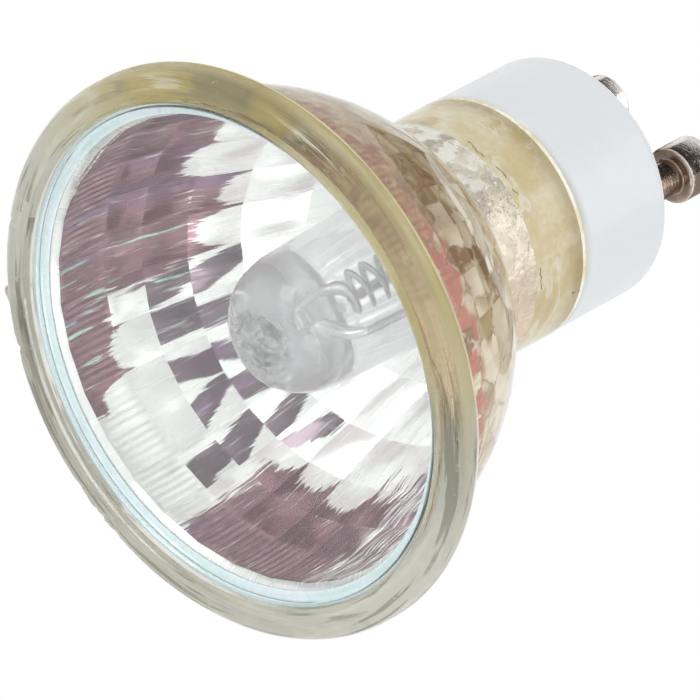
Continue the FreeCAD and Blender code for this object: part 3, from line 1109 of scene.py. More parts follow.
@dataclass
class Reflector:
    """Pressed-glass bowl: thick rim, smooth outside, faceted mirror inside and a straight neck."""

    rim_radius: float = field(default_factory=lambda: node_reach("reflector")[0] - 0.012)
    neck_end: float = field(default_factory=lambda: node_reach("reflector")[1])
    rim_height: float = 3.0
    front_round: float = 1.4
    back_round: float = 0.5
    recess_radius: float = 22.1
    lip_width: float = 0.4
    lip_drop: float = 0.5
    seat_depth: float = 2.45
    mirror_edge_radius: float = 20.95
    mirror_edge_rise: float = 0.7
    bowl_root_radius: float = 21.9
    bowl_end: float = 22.6
    bowl_round: float = 26.1
    neck_fillet: float = 0.9
    bed_width: float = 0.5
    neck_radius: float = 10.9
    bore_radius: float = 8.8
    cement_start: float = 27.6
    mirror_radius: float = 20.35
    mirror_depth: float = 20.5
    end_angle: float = 65.5
    flute_angle: float = 17.0
    facet_rings: int = 5
    facet_columns: int = 32
    steps_across: int = 12
    steps_along: int = 6
    flute_steps: int = 28
    flutes_across: int = 6
    facet_bulge: float = 0.16
    flute_rise: float = 0.06
    streak_stretch: float = 0.07
    # Painted reflection: the dark zones and the chosen dark facets darken the film where the mirror would
    # reflect dark surroundings.
    dark_reflection_zones: tuple[DarkReflectionZone, ...] = (
        DarkReflectionZone(centre=183.0, spread=29.0, reach=40.0),
        DarkReflectionZone(centre=142.0, spread=14.0, reach=16.0, fade=3.0),
        DarkReflectionZone(centre=158.0, spread=9.0, reach=24.0, fade=3.0),
        DarkReflectionZone(centre=77.0, spread=19.0, reach=35.0),
        DarkReflectionZone(centre=213.0, spread=14.0, reach=42.0, fade=8.0, most=0.12),
        DarkReflectionZone(centre=50.0, spread=13.0, reach=40.0, fade=8.0, most=0.05))
    facet_zone: DarkReflectionZone = DarkReflectionZone(centre=124.0, spread=33.0, reach=90.0, fade=2.0)
    facet_chances: tuple[float, ...] = (0.0, 0.5, 0.95, 0.95, 0.3, 0.1)
    facet_blur: float = 0.16
    tongue_chance: float = 0.5
    edge_margin: float = 0.9
    edge_swells: tuple[EdgeSwell, ...] = (
        EdgeSwell(centre=206.0, spread=19.0, rise=4.6, power=2),
        EdgeSwell(centre=152.0, spread=26.0, rise=-2.4, power=4))
    edge_fade: float = 1.2
    shadow_centre: float = 198.0
    shadow_spread: float = 18.0
    shadow_rise: float = 1.7
    chips: tuple[Point, ...] = ((112.0, 8.0), (148.0, 1.6), (176.0, 1.0))
    chip_inner: float = 23.0
    chip_top: float = 2.6
    chip_grain: float = 2.3
    chip_bite: float = 0.012
    chip_lift: float = 0.16
    burr: float = 159.0
    burr_spread: float = 1.3
    burr_root: float = 24.0
    burr_height: float = 1.4
    burr_tallness: float = 0.8
    burr_growth: float = 0.034

    @property
    def segments(self) -> int:
        """Sides of the whole bowl round its axis."""
        return self.facet_columns * self.steps_across

    @property
    def turns(self) -> np.ndarray:
        """Direction of each side's edge, in radians."""
        return np.arange(self.segments) * 2 * math.pi / self.segments

    def ring(self, radius: np.ndarray | float, height: np.ndarray | float) -> np.ndarray:
        """Row of points round the axis."""
        flat = np.ones(self.segments)
        return np.column_stack([radius * np.cos(self.turns), radius * np.sin(self.turns), height * flat])

    def outer_outline(self) -> list[tuple[Point, Zone]]:
        """Section of the glass from the mirror's front edge round the rim to the bore's inner end.

        Returns:
            Points as radius and height, each with the zone of the strip that leaves it.
        """
        front = eased([
            (self.mirror_edge_radius, self.seat_depth, 0.0),
            (self.recess_radius, self.seat_depth, 0.12),
            (self.recess_radius, self.lip_drop, 0.15),
            (self.recess_radius + self.lip_width, 0.0, 0.15),
            (self.rim_radius, 0.0, self.front_round),
            (self.rim_radius, self.rim_height, self.back_round),
            (self.bowl_root_radius, self.rim_height, 0.25),
            (self.bowl_root_radius - 0.5, self.rim_height + 2.0, 0.0),
        ], steps=6)[:-1]
        bowl = arc_points((self.bowl_root_radius, self.rim_height), (self.neck_radius, self.bowl_end),
                          self.bowl_round, 40)[2:-3]
        neck = eased([
            (*bowl[-1], 0.0),
            (self.neck_radius, self.bowl_end, self.neck_fillet),
            (self.neck_radius, self.neck_end - self.bed_width, 0.0),
            (self.neck_radius, self.neck_end, 0.2),
            (self.bore_radius, self.neck_end, 0.0),
        ], steps=6)
        outline = [(point, self.outer_zone(*point)) for point in front + bowl[:-1] + neck[:-1]]
        outline += [((self.bore_radius, height), Zone.SKIN)
                    for height in np.linspace(self.neck_end, self.cement_start, 7)[:-1]]
        _, end = self.mirror_point(self.end_angle)
        outline += [((self.bore_radius, height), Zone.NECK)
                    for height in np.linspace(self.cement_start, end, 9)]
        return outline

    def outer_zone(self, r: float, z: float) -> Zone:
        """Zone of the strip that leaves a point of the outside.

        Args:
            r: Radius of the point.
            z: Height of the point.

        Returns:
            The zone.
        """
        if z > self.neck_end - self.bed_width - 1e-6:
            return Zone.SKIN
        if r > self.bowl_root_radius + 0.3 and z > self.rim_height - self.back_round - 1e-6:
            return Zone.LEDGE
        return Zone.GLASS

    def mirror_point(self, angle: float) -> Point:
        """Radius and height of the mirror's section at an angle in degrees."""
        turn = math.radians(angle)
        return self.mirror_radius * math.cos(turn), self.seat_depth + self.mirror_depth * math.sin(turn)

    def facet_row(self, low: float, high: float, share: float) -> np.ndarray:
        """Row of points across one ring of facets.

        Args:
            low: Angle of the ring's front edge.
            high: Angle of its back edge.
            share: How far the row lies from the front edge to the back edge.

        Returns:
            The row's points.
        """
        step = 2 * math.pi / self.facet_columns
        across = (self.turns / step) % 1.0
        ends = np.array([self.mirror_point(low), self.mirror_point(high)])
        radius, height = (1 - share) * ends[0] + share * ends[1]
        along = ends[1] - ends[0]
        inward = np.array([-along[1], along[0]]) / np.linalg.norm(along)
        flat = math.cos(step / 2) / np.cos((across - 0.5) * step)
        pillow = self.facet_bulge * 16 * across * (1 - across) * share * (1 - share)
        return self.ring(radius * flat + inward[0] * pillow, height + inward[1] * pillow)

    def flute_row(self, angle: float, rise: float) -> np.ndarray:
        """Row of points across the zone of long flutes.

        Args:
            angle: Angle of the row on the mirror's section.
            rise: Height of the ridges.

        Returns:
            The row's points.
        """
        step = 2 * math.pi / self.facet_columns
        across = (self.turns / step) % 1.0
        radius, height = self.mirror_point(angle)
        ridge = 1 - np.abs((across * self.flutes_across) % 1.0 * 2 - 1)
        flat = math.cos(step / 2) / np.cos((across - 0.5) * step)
        return self.ring(radius * flat - rise * ridge, height)

    def mirror_rows(self) -> list[tuple[np.ndarray, int, float]]:
        """Rows of the mirror from its back end to its front edge.

        Returns:
            Each row's points, the ring that it starts and the angle on the section.
        """
        rows = []
        edges = np.linspace(self.flute_angle, self.end_angle, self.facet_rings + 1)
        for ring in reversed(range(self.facet_rings)):
            low, high = edges[ring], edges[ring + 1]
            for step in range(self.steps_along):
                share = 1 - step / self.steps_along
                rows.append((self.facet_row(low, high, share), ring + 1, low + (high - low) * share))
        first = math.degrees(math.asin(self.mirror_edge_rise / self.mirror_depth))
        for share in np.linspace(0, 1, self.flute_steps + 1):
            angle = self.flute_angle + (first - self.flute_angle) * share
            rise = self.flute_rise * min(1.0, 6 * share, 6 * (1 - share))
            rows.append((self.flute_row(angle, rise), 0, angle))
        return rows

    def tones(self, azimuth: np.ndarray, angle: np.ndarray, cell: tuple[np.ndarray, np.ndarray],
              place: tuple[np.ndarray, np.ndarray]) -> tuple[np.ndarray, np.ndarray]:
        """Painted reflections on the mirror's front: tone, where 0 is dark film and 1 is silver, and share of
        dark facets.

        Args:
            azimuth: Direction of each corner of each face, in degrees.
            angle: Angle of each corner on the section, in degrees.
            cell: Ring and column of the facet that each corner belongs to.
            place: How far each corner lies across and along its facet, from 0 to 1.

        Returns:
            The tones and the shares of the corners.
        """
        rng = np.random.default_rng(SEED)
        ring, column = cell
        across, along = place
        table = (self.facet_rings + 2, self.facet_columns)
        start, width, slant, ends = (rng.uniform(low, high, table)[cell] for low, high in (
            (0.0, 0.4), (0.5, 0.8), (-0.6, 0.6), (-8.0, 4.0)))
        chosen = rng.random(table)[cell] < np.array([*self.facet_chances, 0.0])[ring]
        tongue = rng.uniform(6.0, 10.0, self.facet_columns)[column]
        tongued = rng.random(self.facet_columns)[column] < self.tongue_chance
        ends = np.where(ring > 0, ends, 0.0) + 5.0 * (2 * across - 1) ** 4 - 1.5
        dark = np.max([zone.at(azimuth, angle, ends) for zone in self.dark_reflection_zones], axis=0)
        bowed = (angle - tongue) / (self.flute_angle - tongue) - (2 * across - 1) ** 4
        beside = np.abs(azimuth - self.facet_zone.centre) < 0.7 * self.facet_zone.spread
        dark = np.where((ring == 0) & tongued & beside, np.minimum(dark, -3.0 * bowed), dark)
        slope = slant * (along - 0.5)
        stripe = np.minimum(across - start - slope, start + width + 0.6 * slope - across) / self.facet_blur
        faceted = np.minimum(stripe, self.facet_zone.at(azimuth, angle, ends))
        dark_reflecting_facets = chosen & (faceted > dark)
        dark = np.where(chosen, np.maximum(dark, faceted), dark)
        margin = sum((swell.at(azimuth) for swell in self.edge_swells), self.edge_margin)
        dark = np.where(ring == 0, np.minimum(dark, (angle - margin) / self.edge_fade), dark)
        shadow = np.minimum((self.shadow_spread - np.abs(azimuth - self.shadow_centre)) / 5.0,
                            (0.5 - np.abs(angle - margin + self.shadow_rise)) / 0.3)
        dark = np.where(ring == 0, np.maximum(dark, shadow), dark)
        dark = np.where(ring > self.facet_rings, -1.0, dark)
        return 0.5 - 0.5 * np.clip(dark, -1, 1), dark_reflecting_facets.astype(float)

    def wear(self, points: np.ndarray) -> np.ndarray:
        """Chips the rim's front edge on one side and leaves a burr beside it.

        Args:
            points: The bowl's points in millimetres, which are moved.

        Returns:
            How chipped each point is, from 0 to 1.
        """
        radius = np.hypot(points[:, 0], points[:, 1])
        azimuth = np.degrees(np.arctan2(points[:, 1], points[:, 0])) % 360.0
        edge = np.clip(radius - self.chip_inner, 0, 1) * np.clip((self.chip_top - points[:, 2]) / 1.6, 0, 1)
        near = np.max([np.exp(-((azimuth - place) / spread) ** 2) for place, spread in self.chips], axis=0)
        rough = edge * near
        for index in np.nonzero(rough > 0.02)[0]:
            bite = rough[index] * (0.5 + noise.noise(Vector(points[index]) * self.chip_grain))
            points[index, :2] *= 1 - self.chip_bite * max(bite, 0.0)
            points[index, 2] += self.chip_lift * max(bite, 0.0)
        burr = np.exp(-((azimuth - self.burr) / self.burr_spread) ** 4)
        burr *= np.clip(radius - self.burr_root, 0, 1)
        burr *= np.exp(-((points[:, 2] - self.burr_height) / self.burr_tallness) ** 2)
        points[:, :2] *= (1 + self.burr_growth * burr)[:, None]
        return np.clip(rough * 0.8 + burr, 0, 1)

    def build(self) -> bpy.types.Object:
        """Mesh of the bowl, with its zones, wear, tones and sharp edges.

        Returns:
            The piece.
        """
        outline = self.outer_outline()
        rows = [self.ring(*point) for point, _ in outline]
        zones = [zone for _, zone in outline]
        rings = [0] * len(outline)
        angles = [0.0] * len(outline)
        for points, ring, angle in self.mirror_rows():
            rows.append(points)
            zones.append(Zone.MIRROR)
            rings.append(ring)
            angles.append(angle)
        rings[-1] = self.facet_rings + 1
        points = np.concatenate(rows)
        chipped = self.wear(points)
        count, sides = len(rows), self.segments
        row_of, side_of = np.divmod(np.arange(count * sides), sides)
        after_row, after_side = (row_of + 1) % count, (side_of + 1) % sides
        faces = np.column_stack([row_of * sides + side_of, row_of * sides + after_side,
                                 after_row * sides + after_side, after_row * sides + side_of])
        mesh = bpy.data.meshes.new("reflector_bowl")
        mesh.from_pydata((points * MM).tolist(), [], faces.tolist())
        slots = np.array([zone.value for zone in zones], dtype=np.int32)
        mesh.polygons.foreach_set("material_index", slots[row_of])
        layer = mesh.attributes.new("chip", "FLOAT", "POINT")
        layer.data.foreach_set("value", chipped.astype(np.float32))
        self.mark_film(mesh, np.array(rings), np.array(angles), row_of, side_of)
        self.mark_edges(mesh, np.array(rings), zones, row_of, side_of)
        mesh.shade_smooth()
        mesh.update()
        return link_mesh("reflector_bowl", mesh)

    def ring_starts(self, rings: np.ndarray) -> np.ndarray:
        """First row of the ring of facets that each row belongs to, or 0 outside the rings."""
        return np.array([np.flatnonzero(rings == each)[0] if each else 0 for each in rings])

    def mark_film(self, mesh: bpy.types.Mesh, rings: np.ndarray, angles: np.ndarray,
                  row_of: np.ndarray, side_of: np.ndarray) -> None:
        """Stores the film's tones, which are painted reflections, and its places along the flutes on the
        bowl's mesh.

        Args:
            mesh: The bowl's mesh.
            rings: Ring of facets of each row.
            angles: Angle of each row on the mirror's section.
            row_of: Row of each face and point.
            side_of: Side of each face and point.
        """
        column = side_of // self.steps_across
        ring = rings[row_of]
        back = np.random.default_rng(SEED + 1).random((self.facet_rings + 2, self.facet_columns))
        layer = mesh.attributes.new("back_tone", "FLOAT", "FACE")
        layer.data.foreach_set("value", back[ring, column].astype(np.float32))
        turn = side_of * 2 * math.pi / self.segments
        depth = np.radians(angles)[row_of] * self.mirror_radius * self.streak_stretch
        space = np.column_stack([self.mirror_radius * np.cos(turn), self.mirror_radius * np.sin(turn), depth])
        layer = mesh.attributes.new("flute_space", "FLOAT_VECTOR", "POINT")
        layer.data.foreach_set("vector", space.astype(np.float32).ravel())
        first = self.ring_starts(rings)
        after = np.minimum(row_of + 1, len(rings) - 1)
        low = (side_of % self.steps_across) / self.steps_across
        wide = low + 1 / self.steps_across
        near, far = (np.where(ring > 0, (row_of + step - first[row_of]) / self.steps_along,
                              angles[rows] / self.flute_angle) for step, rows in ((0, row_of), (1, after)))
        corners = ((low, near, row_of), (wide, near, row_of), (wide, far, after), (low, far, after))
        across = np.column_stack([corner[0] for corner in corners])
        along = np.column_stack([corner[1] for corner in corners])
        angle = np.column_stack([angles[corner[2]] for corner in corners])
        azimuth = (column[:, None] + across) * 360.0 / self.facet_columns
        every = np.ones(4, dtype=int)
        levels = self.tones(azimuth, angle, (ring[:, None] * every, column[:, None] * every), (across, along))
        for name, level in zip(("tone", "dark_facet_reflection"), levels):
            layer = mesh.attributes.new(name, "FLOAT", "CORNER")
            layer.data.foreach_set("value", level.astype(np.float32).ravel())

    def mark_edges(self, mesh: bpy.types.Mesh, rings: np.ndarray, zones: list[Zone],
                   row_of: np.ndarray, side_of: np.ndarray) -> None:
        """Keeps the edges of facets and flutes sharp.

        Args:
            mesh: The bowl's mesh.
            rings: Ring of facets of each row.
            zones: Zone of each row.
            row_of: Row of each point.
            side_of: Side of each point.
        """
        ends = np.zeros(len(mesh.edges) * 2, dtype=np.int32)
        mesh.edges.foreach_get("vertices", ends)
        ends = ends.reshape(-1, 2)
        mirrored = np.array([zone is Zone.MIRROR for zone in zones])
        edge_rows, edge_sides = row_of[ends], side_of[ends]
        along = (edge_sides[:, 0] == edge_sides[:, 1]) & mirrored[edge_rows].all(axis=1)
        in_flutes = (rings[edge_rows] == 0).all(axis=1)
        spacing = np.where(in_flutes, self.steps_across // self.flutes_across // 2, self.steps_across)
        sharp = along & (edge_sides[:, 0] % np.maximum(spacing, 1) == 0)
        across = (edge_rows[:, 0] == edge_rows[:, 1]) & mirrored[edge_rows[:, 0]]
        sharp |= across & np.isin(edge_rows[:, 0], self.ring_starts(rings)) & (edge_rows[:, 0] > 0)
        layer = mesh.attributes.new("sharp_edge", "BOOLEAN", "EDGE")
        layer.data.foreach_set("value", sharp)

    def dress(self, effects: Effects) -> None:
        """Builds the bowl and gives each zone its finish.

        Args:
            effects: Shared effects.
        """
        glass = ClearGlass(
            "olive_pressed_glass", tint=(0.985, 0.98, 0.96), depth_colour=(0.82, 0.80, 0.64),
            depth_density=80.0, ior=1.52, roughness=(0.06, 0.3), scratch=0.8, rim_tint=(0.93, 0.935, 0.93),
            rim_stain=(0.95, 0.92, 0.82), rim_line=(0.32, 0.31, 0.27), rim_height=self.rim_height,
            rim_haze=0.4)
        skin = MatteMineral(
            "cement_behind_glass", light=(0.97, 0.93, 0.80), dark=(0.80, 0.70, 0.42), speck=(0.2, 0.16, 0.1),
            tone_scale=300.0, speck_scale=900.0, speck_size=0.2, speck_share=0.03, roughness=(0.35, 0.6),
            grain_scale=900.0, grain_depth=0.12, cracks=(28.1,), painted_fold_shading=(1.0, 0.99, 0.92), fold_scale=190.0)
        finishes = [glass, MirrorFilm("dichroic_mirror_film"), NeckCoat("broken_neck_film"), skin,
                    PressedLedge("pressed_ledge")]
        materials = [finish.material(effects) for finish in finishes]
        install(self.build(), ["reflector"], materials)


@dataclass
class FrontCover:
    """Flat cover glass and the ring of clear adhesive that holds it."""

    cover_radius: float = field(default_factory=lambda: node_reach("cover_glass")[0])
    cover_back: float = field(default_factory=lambda: node_reach("cover_glass")[1])
    cover_front: float = field(default_factory=lambda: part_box("cover_glass")[0].z / MM)
    seal_radius: float = field(default_factory=lambda: node_reach("cover_sealant")[0])
    seal_back: float = field(default_factory=lambda: node_reach("cover_sealant")[1])
    seal_front: float = field(default_factory=lambda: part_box("cover_sealant")[0].z / MM)
    seal_width: float = 1.3
    cover_edge: float = 0.2
    gap: float = 0.01

    def dress(self, effects: Effects) -> None:
        """Builds the cover and its adhesive.

        Args:
            effects: Shared effects.
        """
        cover = turned("front_cover_pane", eased([
            (0.0, self.cover_front, 0.0), (self.cover_radius, self.cover_front, self.cover_edge),
            (self.cover_radius, self.cover_back, 0.05), (0.0, self.cover_back, 0.0)]), 256)
        glass = ClearGlass("clear_cover_glass", tint=(0.985, 1.0, 0.995), wave_scale=60.0, wave_depth=0.01,
                           roughness=(0.0, 0.12), lets_lamps_in=True)
        install(cover, ["cover_glass"], [glass.material(effects)])
        outer, inner = self.seal_radius - self.gap, self.cover_radius + self.gap
        bead = turned("cover_adhesive", eased([
            (inner, self.seal_front, 0.05), (outer, self.seal_front, 0.05), (outer, self.seal_back, 0.03),
            (self.seal_radius - self.seal_width, self.seal_back, 0.03),
            (self.seal_radius - self.seal_width, self.cover_back + self.gap, 0.03),
            (inner, self.cover_back + self.gap, 0.0)], closed=True), 256, closed=True)
        adhesive = MatteMineral(
            "clear_adhesive", light=(0.60, 0.76, 0.76), dark=(0.70, 0.78, 0.83), speck=(0.45, 0.46, 0.46),
            tone_scale=180.0, speck_scale=1200.0, speck_size=0.14, speck_share=0.1, roughness=(0.15, 0.4),
            grain_scale=900.0, grain_depth=0.04, coat=0.5)
        install(bead, ["cover_sealant"], [adhesive.material(effects)])


@dataclass
class Capsule:
    """Quartz capsule with its crumpled nose, and the filament, leads and foils inside it."""

    tip: float = field(default_factory=lambda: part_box("capsule_envelope")[0].z / MM)
    seal_end: float = field(default_factory=lambda: node_reach("capsule_envelope")[1])
    radius: float = field(default_factory=lambda: node_reach("capsule_envelope")[0])
    wall: float = 0.9
    inner_end_radius: float = 0.4
    nipple_radius: float = 2.2
    dome_start: float = 5.05
    body_start: float = 9.45
    shoulder: float = 18.85
    press: float = 22.25
    seal_width: float = 9.0
    seal_thickness: float = 3.2
    nose_radius: float = 2.6
    nose_depth: float = 1.5
    crumple: float = 0.22
    crumple_grain: float = 1.4
    fine_grain: float = 3.3
    fine_share: float = 0.6
    seal_overlap: float = 0.4
    seal_round: float = 0.6
    steps: int = 14

    def section(self, radius: float, top: float, end_radius: float, bottom: float) -> list[Point]:
        """Half outline of a blown shape with a domed front and a shouldered back.

        Args:
            radius: Radius of its straight body.
            top: Height where the dome starts.
            end_radius: Radius of both ends.
            bottom: Height where the shoulder ends.

        Returns:
            The outline from the dome to the shoulder's end.
        """
        turns = np.linspace(0, math.pi / 2, self.steps + 1)
        swell = radius - end_radius
        front, rear = top - self.body_start, bottom - self.shoulder
        dome = [(end_radius + swell * math.sin(a), self.body_start + front * math.cos(a)) for a in turns]
        back = [(end_radius + swell * math.cos(a), self.shoulder + rear * math.sin(a)) for a in turns]
        return dome + back

    def shape(self) -> list[Point]:
        """Outline of the outer wall.

        Returns:
            The outline from the nose's tip to the shoulder's end.
        """
        length = self.dome_start - self.tip
        nose = [(self.nipple_radius * math.sin(a), self.tip + length * (1 - math.cos(a)))
                for a in np.linspace(0, math.pi / 2, 12)]
        return nose + self.section(self.radius, self.dome_start, self.nipple_radius, self.press)

    def envelope(self) -> bpy.types.Object:
        """Hollow envelope whose back is pressed flat.

        Returns:
            The piece.
        """
        body = turned("quartz_envelope", self.shape() + [(0.0, self.press)], 128)
        noise.seed_set(SEED)
        for vertex in body.data.vertices:
            self.squeeze(vertex)
        inside = self.section(self.radius - self.wall, self.dome_start + self.wall, self.inner_end_radius,
                              self.press - self.wall)
        space = turned("capsule_space", [(0.0, inside[0][1])] + inside + [(0.0, inside[-1][1])], 96)
        seal = block("press_seal", self.seal_width, self.seal_thickness, self.shoulder + self.seal_overlap,
                     self.seal_end, self.seal_round)
        joint = body.modifiers.new("seal", "BOOLEAN")
        joint.operation = "UNION"
        joint.object = seal
        joint.solver = "EXACT"
        carve(body, [space])
        bpy.data.objects.remove(seal)
        frost = body.data.attributes.new("frost", "FLOAT", "POINT")
        frost.data.foreach_set("value", [self.frost(vertex.co) for vertex in body.data.vertices])
        return body

    def frost(self, place: Vector) -> float:
        """How far a point of the wall belongs to the crumpled nose.

        Args:
            place: The point, in metres.

        Returns:
            The share from 0 to 1.
        """
        across = math.hypot(place.x, place.y) / MM
        near = min(max(self.nose_radius + 0.5 - across, 0.0), 1.0)
        return near * min(max((self.body_start - self.nose_depth - place.z / MM) / 2.0, 0.0), 1.0)

    def squeeze(self, vertex: bpy.types.MeshVertex) -> None:
        """Crumples the nose of the blown wall where its exhaust tube was melted off.

        Args:
            vertex: Point of the wall, which is moved.
        """
        fade = self.frost(vertex.co)
        if fade > 0:
            place = vertex.co / MM
            push = noise.noise_vector(place * self.crumple_grain)
            push += self.fine_share * noise.noise_vector(place * self.fine_grain)
            vertex.co += push * self.crumple * fade * MM
            vertex.co.z = max(vertex.co.z, (self.tip + 0.01) * MM)

    def dress(self, effects: Effects) -> None:
        """Builds the envelope and gives the wires and foils their metals.

        Args:
            effects: Shared effects.
        """
        quartz = ClearGlass("blown_quartz", tint=(0.99, 0.99, 1.0), ior=1.46, wave_scale=300.0,
                            wave_depth=0.02, roughness=(0.02, 0.08), frost=0.02, milk=0.14,
                            lets_lamps_in=True)
        install(self.envelope(), ["capsule_envelope"], [quartz.material(effects)])
        tungsten = TurnedMetal("drawn_tungsten", plate=(0.62, 0.61, 0.6), stain=(0.45, 0.44, 0.43),
                               stain_scale=900.0, roughness=(0.3, 0.5))
        moly = TurnedMetal("drawn_molybdenum", plate=(0.82, 0.81, 0.8), stain=(0.66, 0.65, 0.63),
                           stain_scale=700.0, roughness=(0.25, 0.45))
        wire = TurnedMetal("tinned_lead_wire", plate=(0.66, 0.64, 0.6), stain=(0.45, 0.4, 0.34),
                           stain_scale=600.0, roughness=(0.25, 0.5))
        dress_node("filament", tungsten.material(effects))
        bright, tinned = moly.material(effects), wire.material(effects)
        for side in Side:
            word = side.name.lower()
            dress_node(f"inner_lead_{word}", bright)
            dress_node(f"foil_{word}", bright)
            dress_node(f"outer_lead_{word}", tinned)


@dataclass
class CeramicBase:
    """White ceramic cup with its spigot, slot, hollow and pin holes, and the two cements."""

    radius: float = field(default_factory=lambda: node_reach("ceramic_base")[0])
    back: float = field(default_factory=lambda: node_reach("ceramic_base")[1])
    spigot_front: float = field(default_factory=lambda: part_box("ceramic_base")[0].z / MM)
    neck_end: float = field(default_factory=lambda: node_reach("reflector")[1])
    spigot_radius: float = 8.45
    side_length: float = 10.25
    back_radius: float = 6.75
    front_chamfer: float = 0.7
    bed: float = 0.03
    shoulder_round: float = 1.2
    slot: tuple[float, float] = (11.0, 5.2)
    chamber: tuple[float, float] = (15.2, 5.2)
    back_wall: float = 4.05
    pin_spacing: float = 10.0
    pin_hole_radius: float = 1.6
    cement_radius: float = 8.78
    gap: float = 0.01
    tool_spare: float = 1.0

    def dress(self, effects: Effects) -> None:
        """Builds the base and its cements.

        Args:
            effects: Shared effects.
        """
        shoulder = self.neck_end + self.side_length
        base = turned("ceramic_cup", eased([
            (0.0, self.spigot_front, 0.0),
            (self.spigot_radius, self.spigot_front, 0.3),
            (self.spigot_radius, self.neck_end + self.bed, 0.2),
            (self.radius - self.front_chamfer, self.neck_end + self.bed, 0.25),
            (self.radius, self.neck_end + self.front_chamfer, 0.5),
            (self.radius, shoulder, self.shoulder_round),
            (self.back_radius, self.back, 0.5),
            (0.0, self.back, 0.0)], steps=8), 224)
        roof, spare = self.back - self.back_wall, self.tool_spare
        tools = [block("seal_slot", *self.slot, self.spigot_front - spare, roof),
                 block("wire_chamber", *self.chamber, self.neck_end, roof)]
        for side in Side:
            tools.append(turned(f"hole_{side.name.lower()}", [
                (0.0, roof - spare), (self.pin_hole_radius, roof - spare),
                (self.pin_hole_radius, self.back + spare), (0.0, self.back + spare)],
                64, centre_x=side.value * self.pin_spacing / 2))
        carve(base, tools)
        ceramic = MatteMineral(
            "white_ceramic", light=(0.75, 0.775, 0.795), dark=(0.72, 0.745, 0.765), speck=(0.25, 0.23, 0.22),
            tone_scale=60.0, speck_scale=420.0, speck_size=0.05, speck_share=0.06, roughness=(0.3, 0.45),
            grain_scale=2200.0, grain_depth=0.012, glow=0.25, coat=0.25)
        install(base, ["ceramic_base"], [ceramic.material(effects)])
        inner, top = self.spigot_radius + self.gap, self.neck_end - self.gap
        collar = turned("cement_collar", eased([
            (inner, self.spigot_front, 0.05), (self.cement_radius, self.spigot_front, 0.05),
            (self.cement_radius, top, 0.05), (inner, top, 0.05)], closed=True), 128, closed=True)
        paste = {"tone_scale": 300.0, "speck_scale": 1100.0, "speck_size": 0.2, "speck_share": 0.1,
                 "roughness": (0.6, 0.85), "grain_scale": 1500.0, "grain_depth": 0.08}
        cement = MatteMineral("cream_cement", light=(0.80, 0.74, 0.58), dark=(0.66, 0.58, 0.40),
                              speck=(0.3, 0.25, 0.18), **paste)
        install(collar, ["base_cement"], [cement.material(effects)])
        bedding = MatteMineral("white_cement", light=(0.9, 0.89, 0.86), dark=(0.82, 0.8, 0.75),
                               speck=(0.5, 0.48, 0.44), **paste)
        dress_node("capsule_cement", bedding.material(effects))


@dataclass
class ContactPins:
    """Pair of turned pins with plated heads, riveted through the base."""

    tip: float = field(default_factory=lambda: node_reach("pin_right")[1])
    collar_front: float = field(default_factory=lambda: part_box("pin_right")[0].z / MM)
    spacing: float = 10.0
    head_radius: float = 2.5
    head_length: float = 3.5
    head_round: float = 0.35
    shank_radius: float = 1.55
    collar_radius: float = 2.2
    collar_thickness: float = 0.6
    bore_radius: float = 0.45
    cap: float = 3.2
    dimple: tuple[float, float] = (0.7, 0.18)

    def outline(self) -> list[Point]:
        """Section of a pin.

        Returns:
            The outline from the closed end of its bore round to the dimple in its head.
        """
        head = self.tip - self.head_length
        roof = self.collar_front + self.collar_thickness
        return eased([
            (0.0, self.tip - self.cap, 0.0),
            (self.bore_radius, self.tip - self.cap, 0.1),
            (self.bore_radius, self.collar_front, 0.1),
            (self.collar_radius, self.collar_front, 0.15),
            (self.collar_radius, roof, 0.1),
            (self.shank_radius, roof, 0.1),
            (self.shank_radius, head, 0.15),
            (self.head_radius, head, self.head_round),
            (self.head_radius, self.tip, self.head_round),
            (self.dimple[0], self.tip, 0.1),
            (0.0, self.tip - self.dimple[1], 0.0)], steps=6)

    def dress(self, effects: Effects) -> None:
        """Builds both pins.

        Args:
            effects: Shared effects.
        """
        nickel = TurnedMetal("nickel_plate", plate=(0.82, 0.79, 0.75), stain=(0.56, 0.48, 0.42),
                             stain_scale=420.0, roughness=(0.06, 0.2), underside_reflection=(0.42, 0.32, 0.25),
                             foot_height=self.tip - self.head_length + 0.15)
        plate = nickel.material(effects)
        for side in Side:
            word = side.name.lower()
            pin = turned(f"contact_pin_{word}", self.outline(), 96, centre_x=side.value * self.spacing / 2)
            install(pin, [f"pin_{word}"], [plate])


@dataclass(frozen=True)
class SoftLamp:
    """Square soft lamp, with its place and size in metres and its power in watts."""

    name: str
    place: Corner
    size: float
    power: float


@dataclass(frozen=True)
class Flag:
    """Curved dark card about the pins, over a sector of directions in degrees."""

    name: str
    colour: Colour
    sector: tuple[float, float]
    low: Point = (14.0, 55.5)
    high: Point = (46.0, 100.0)


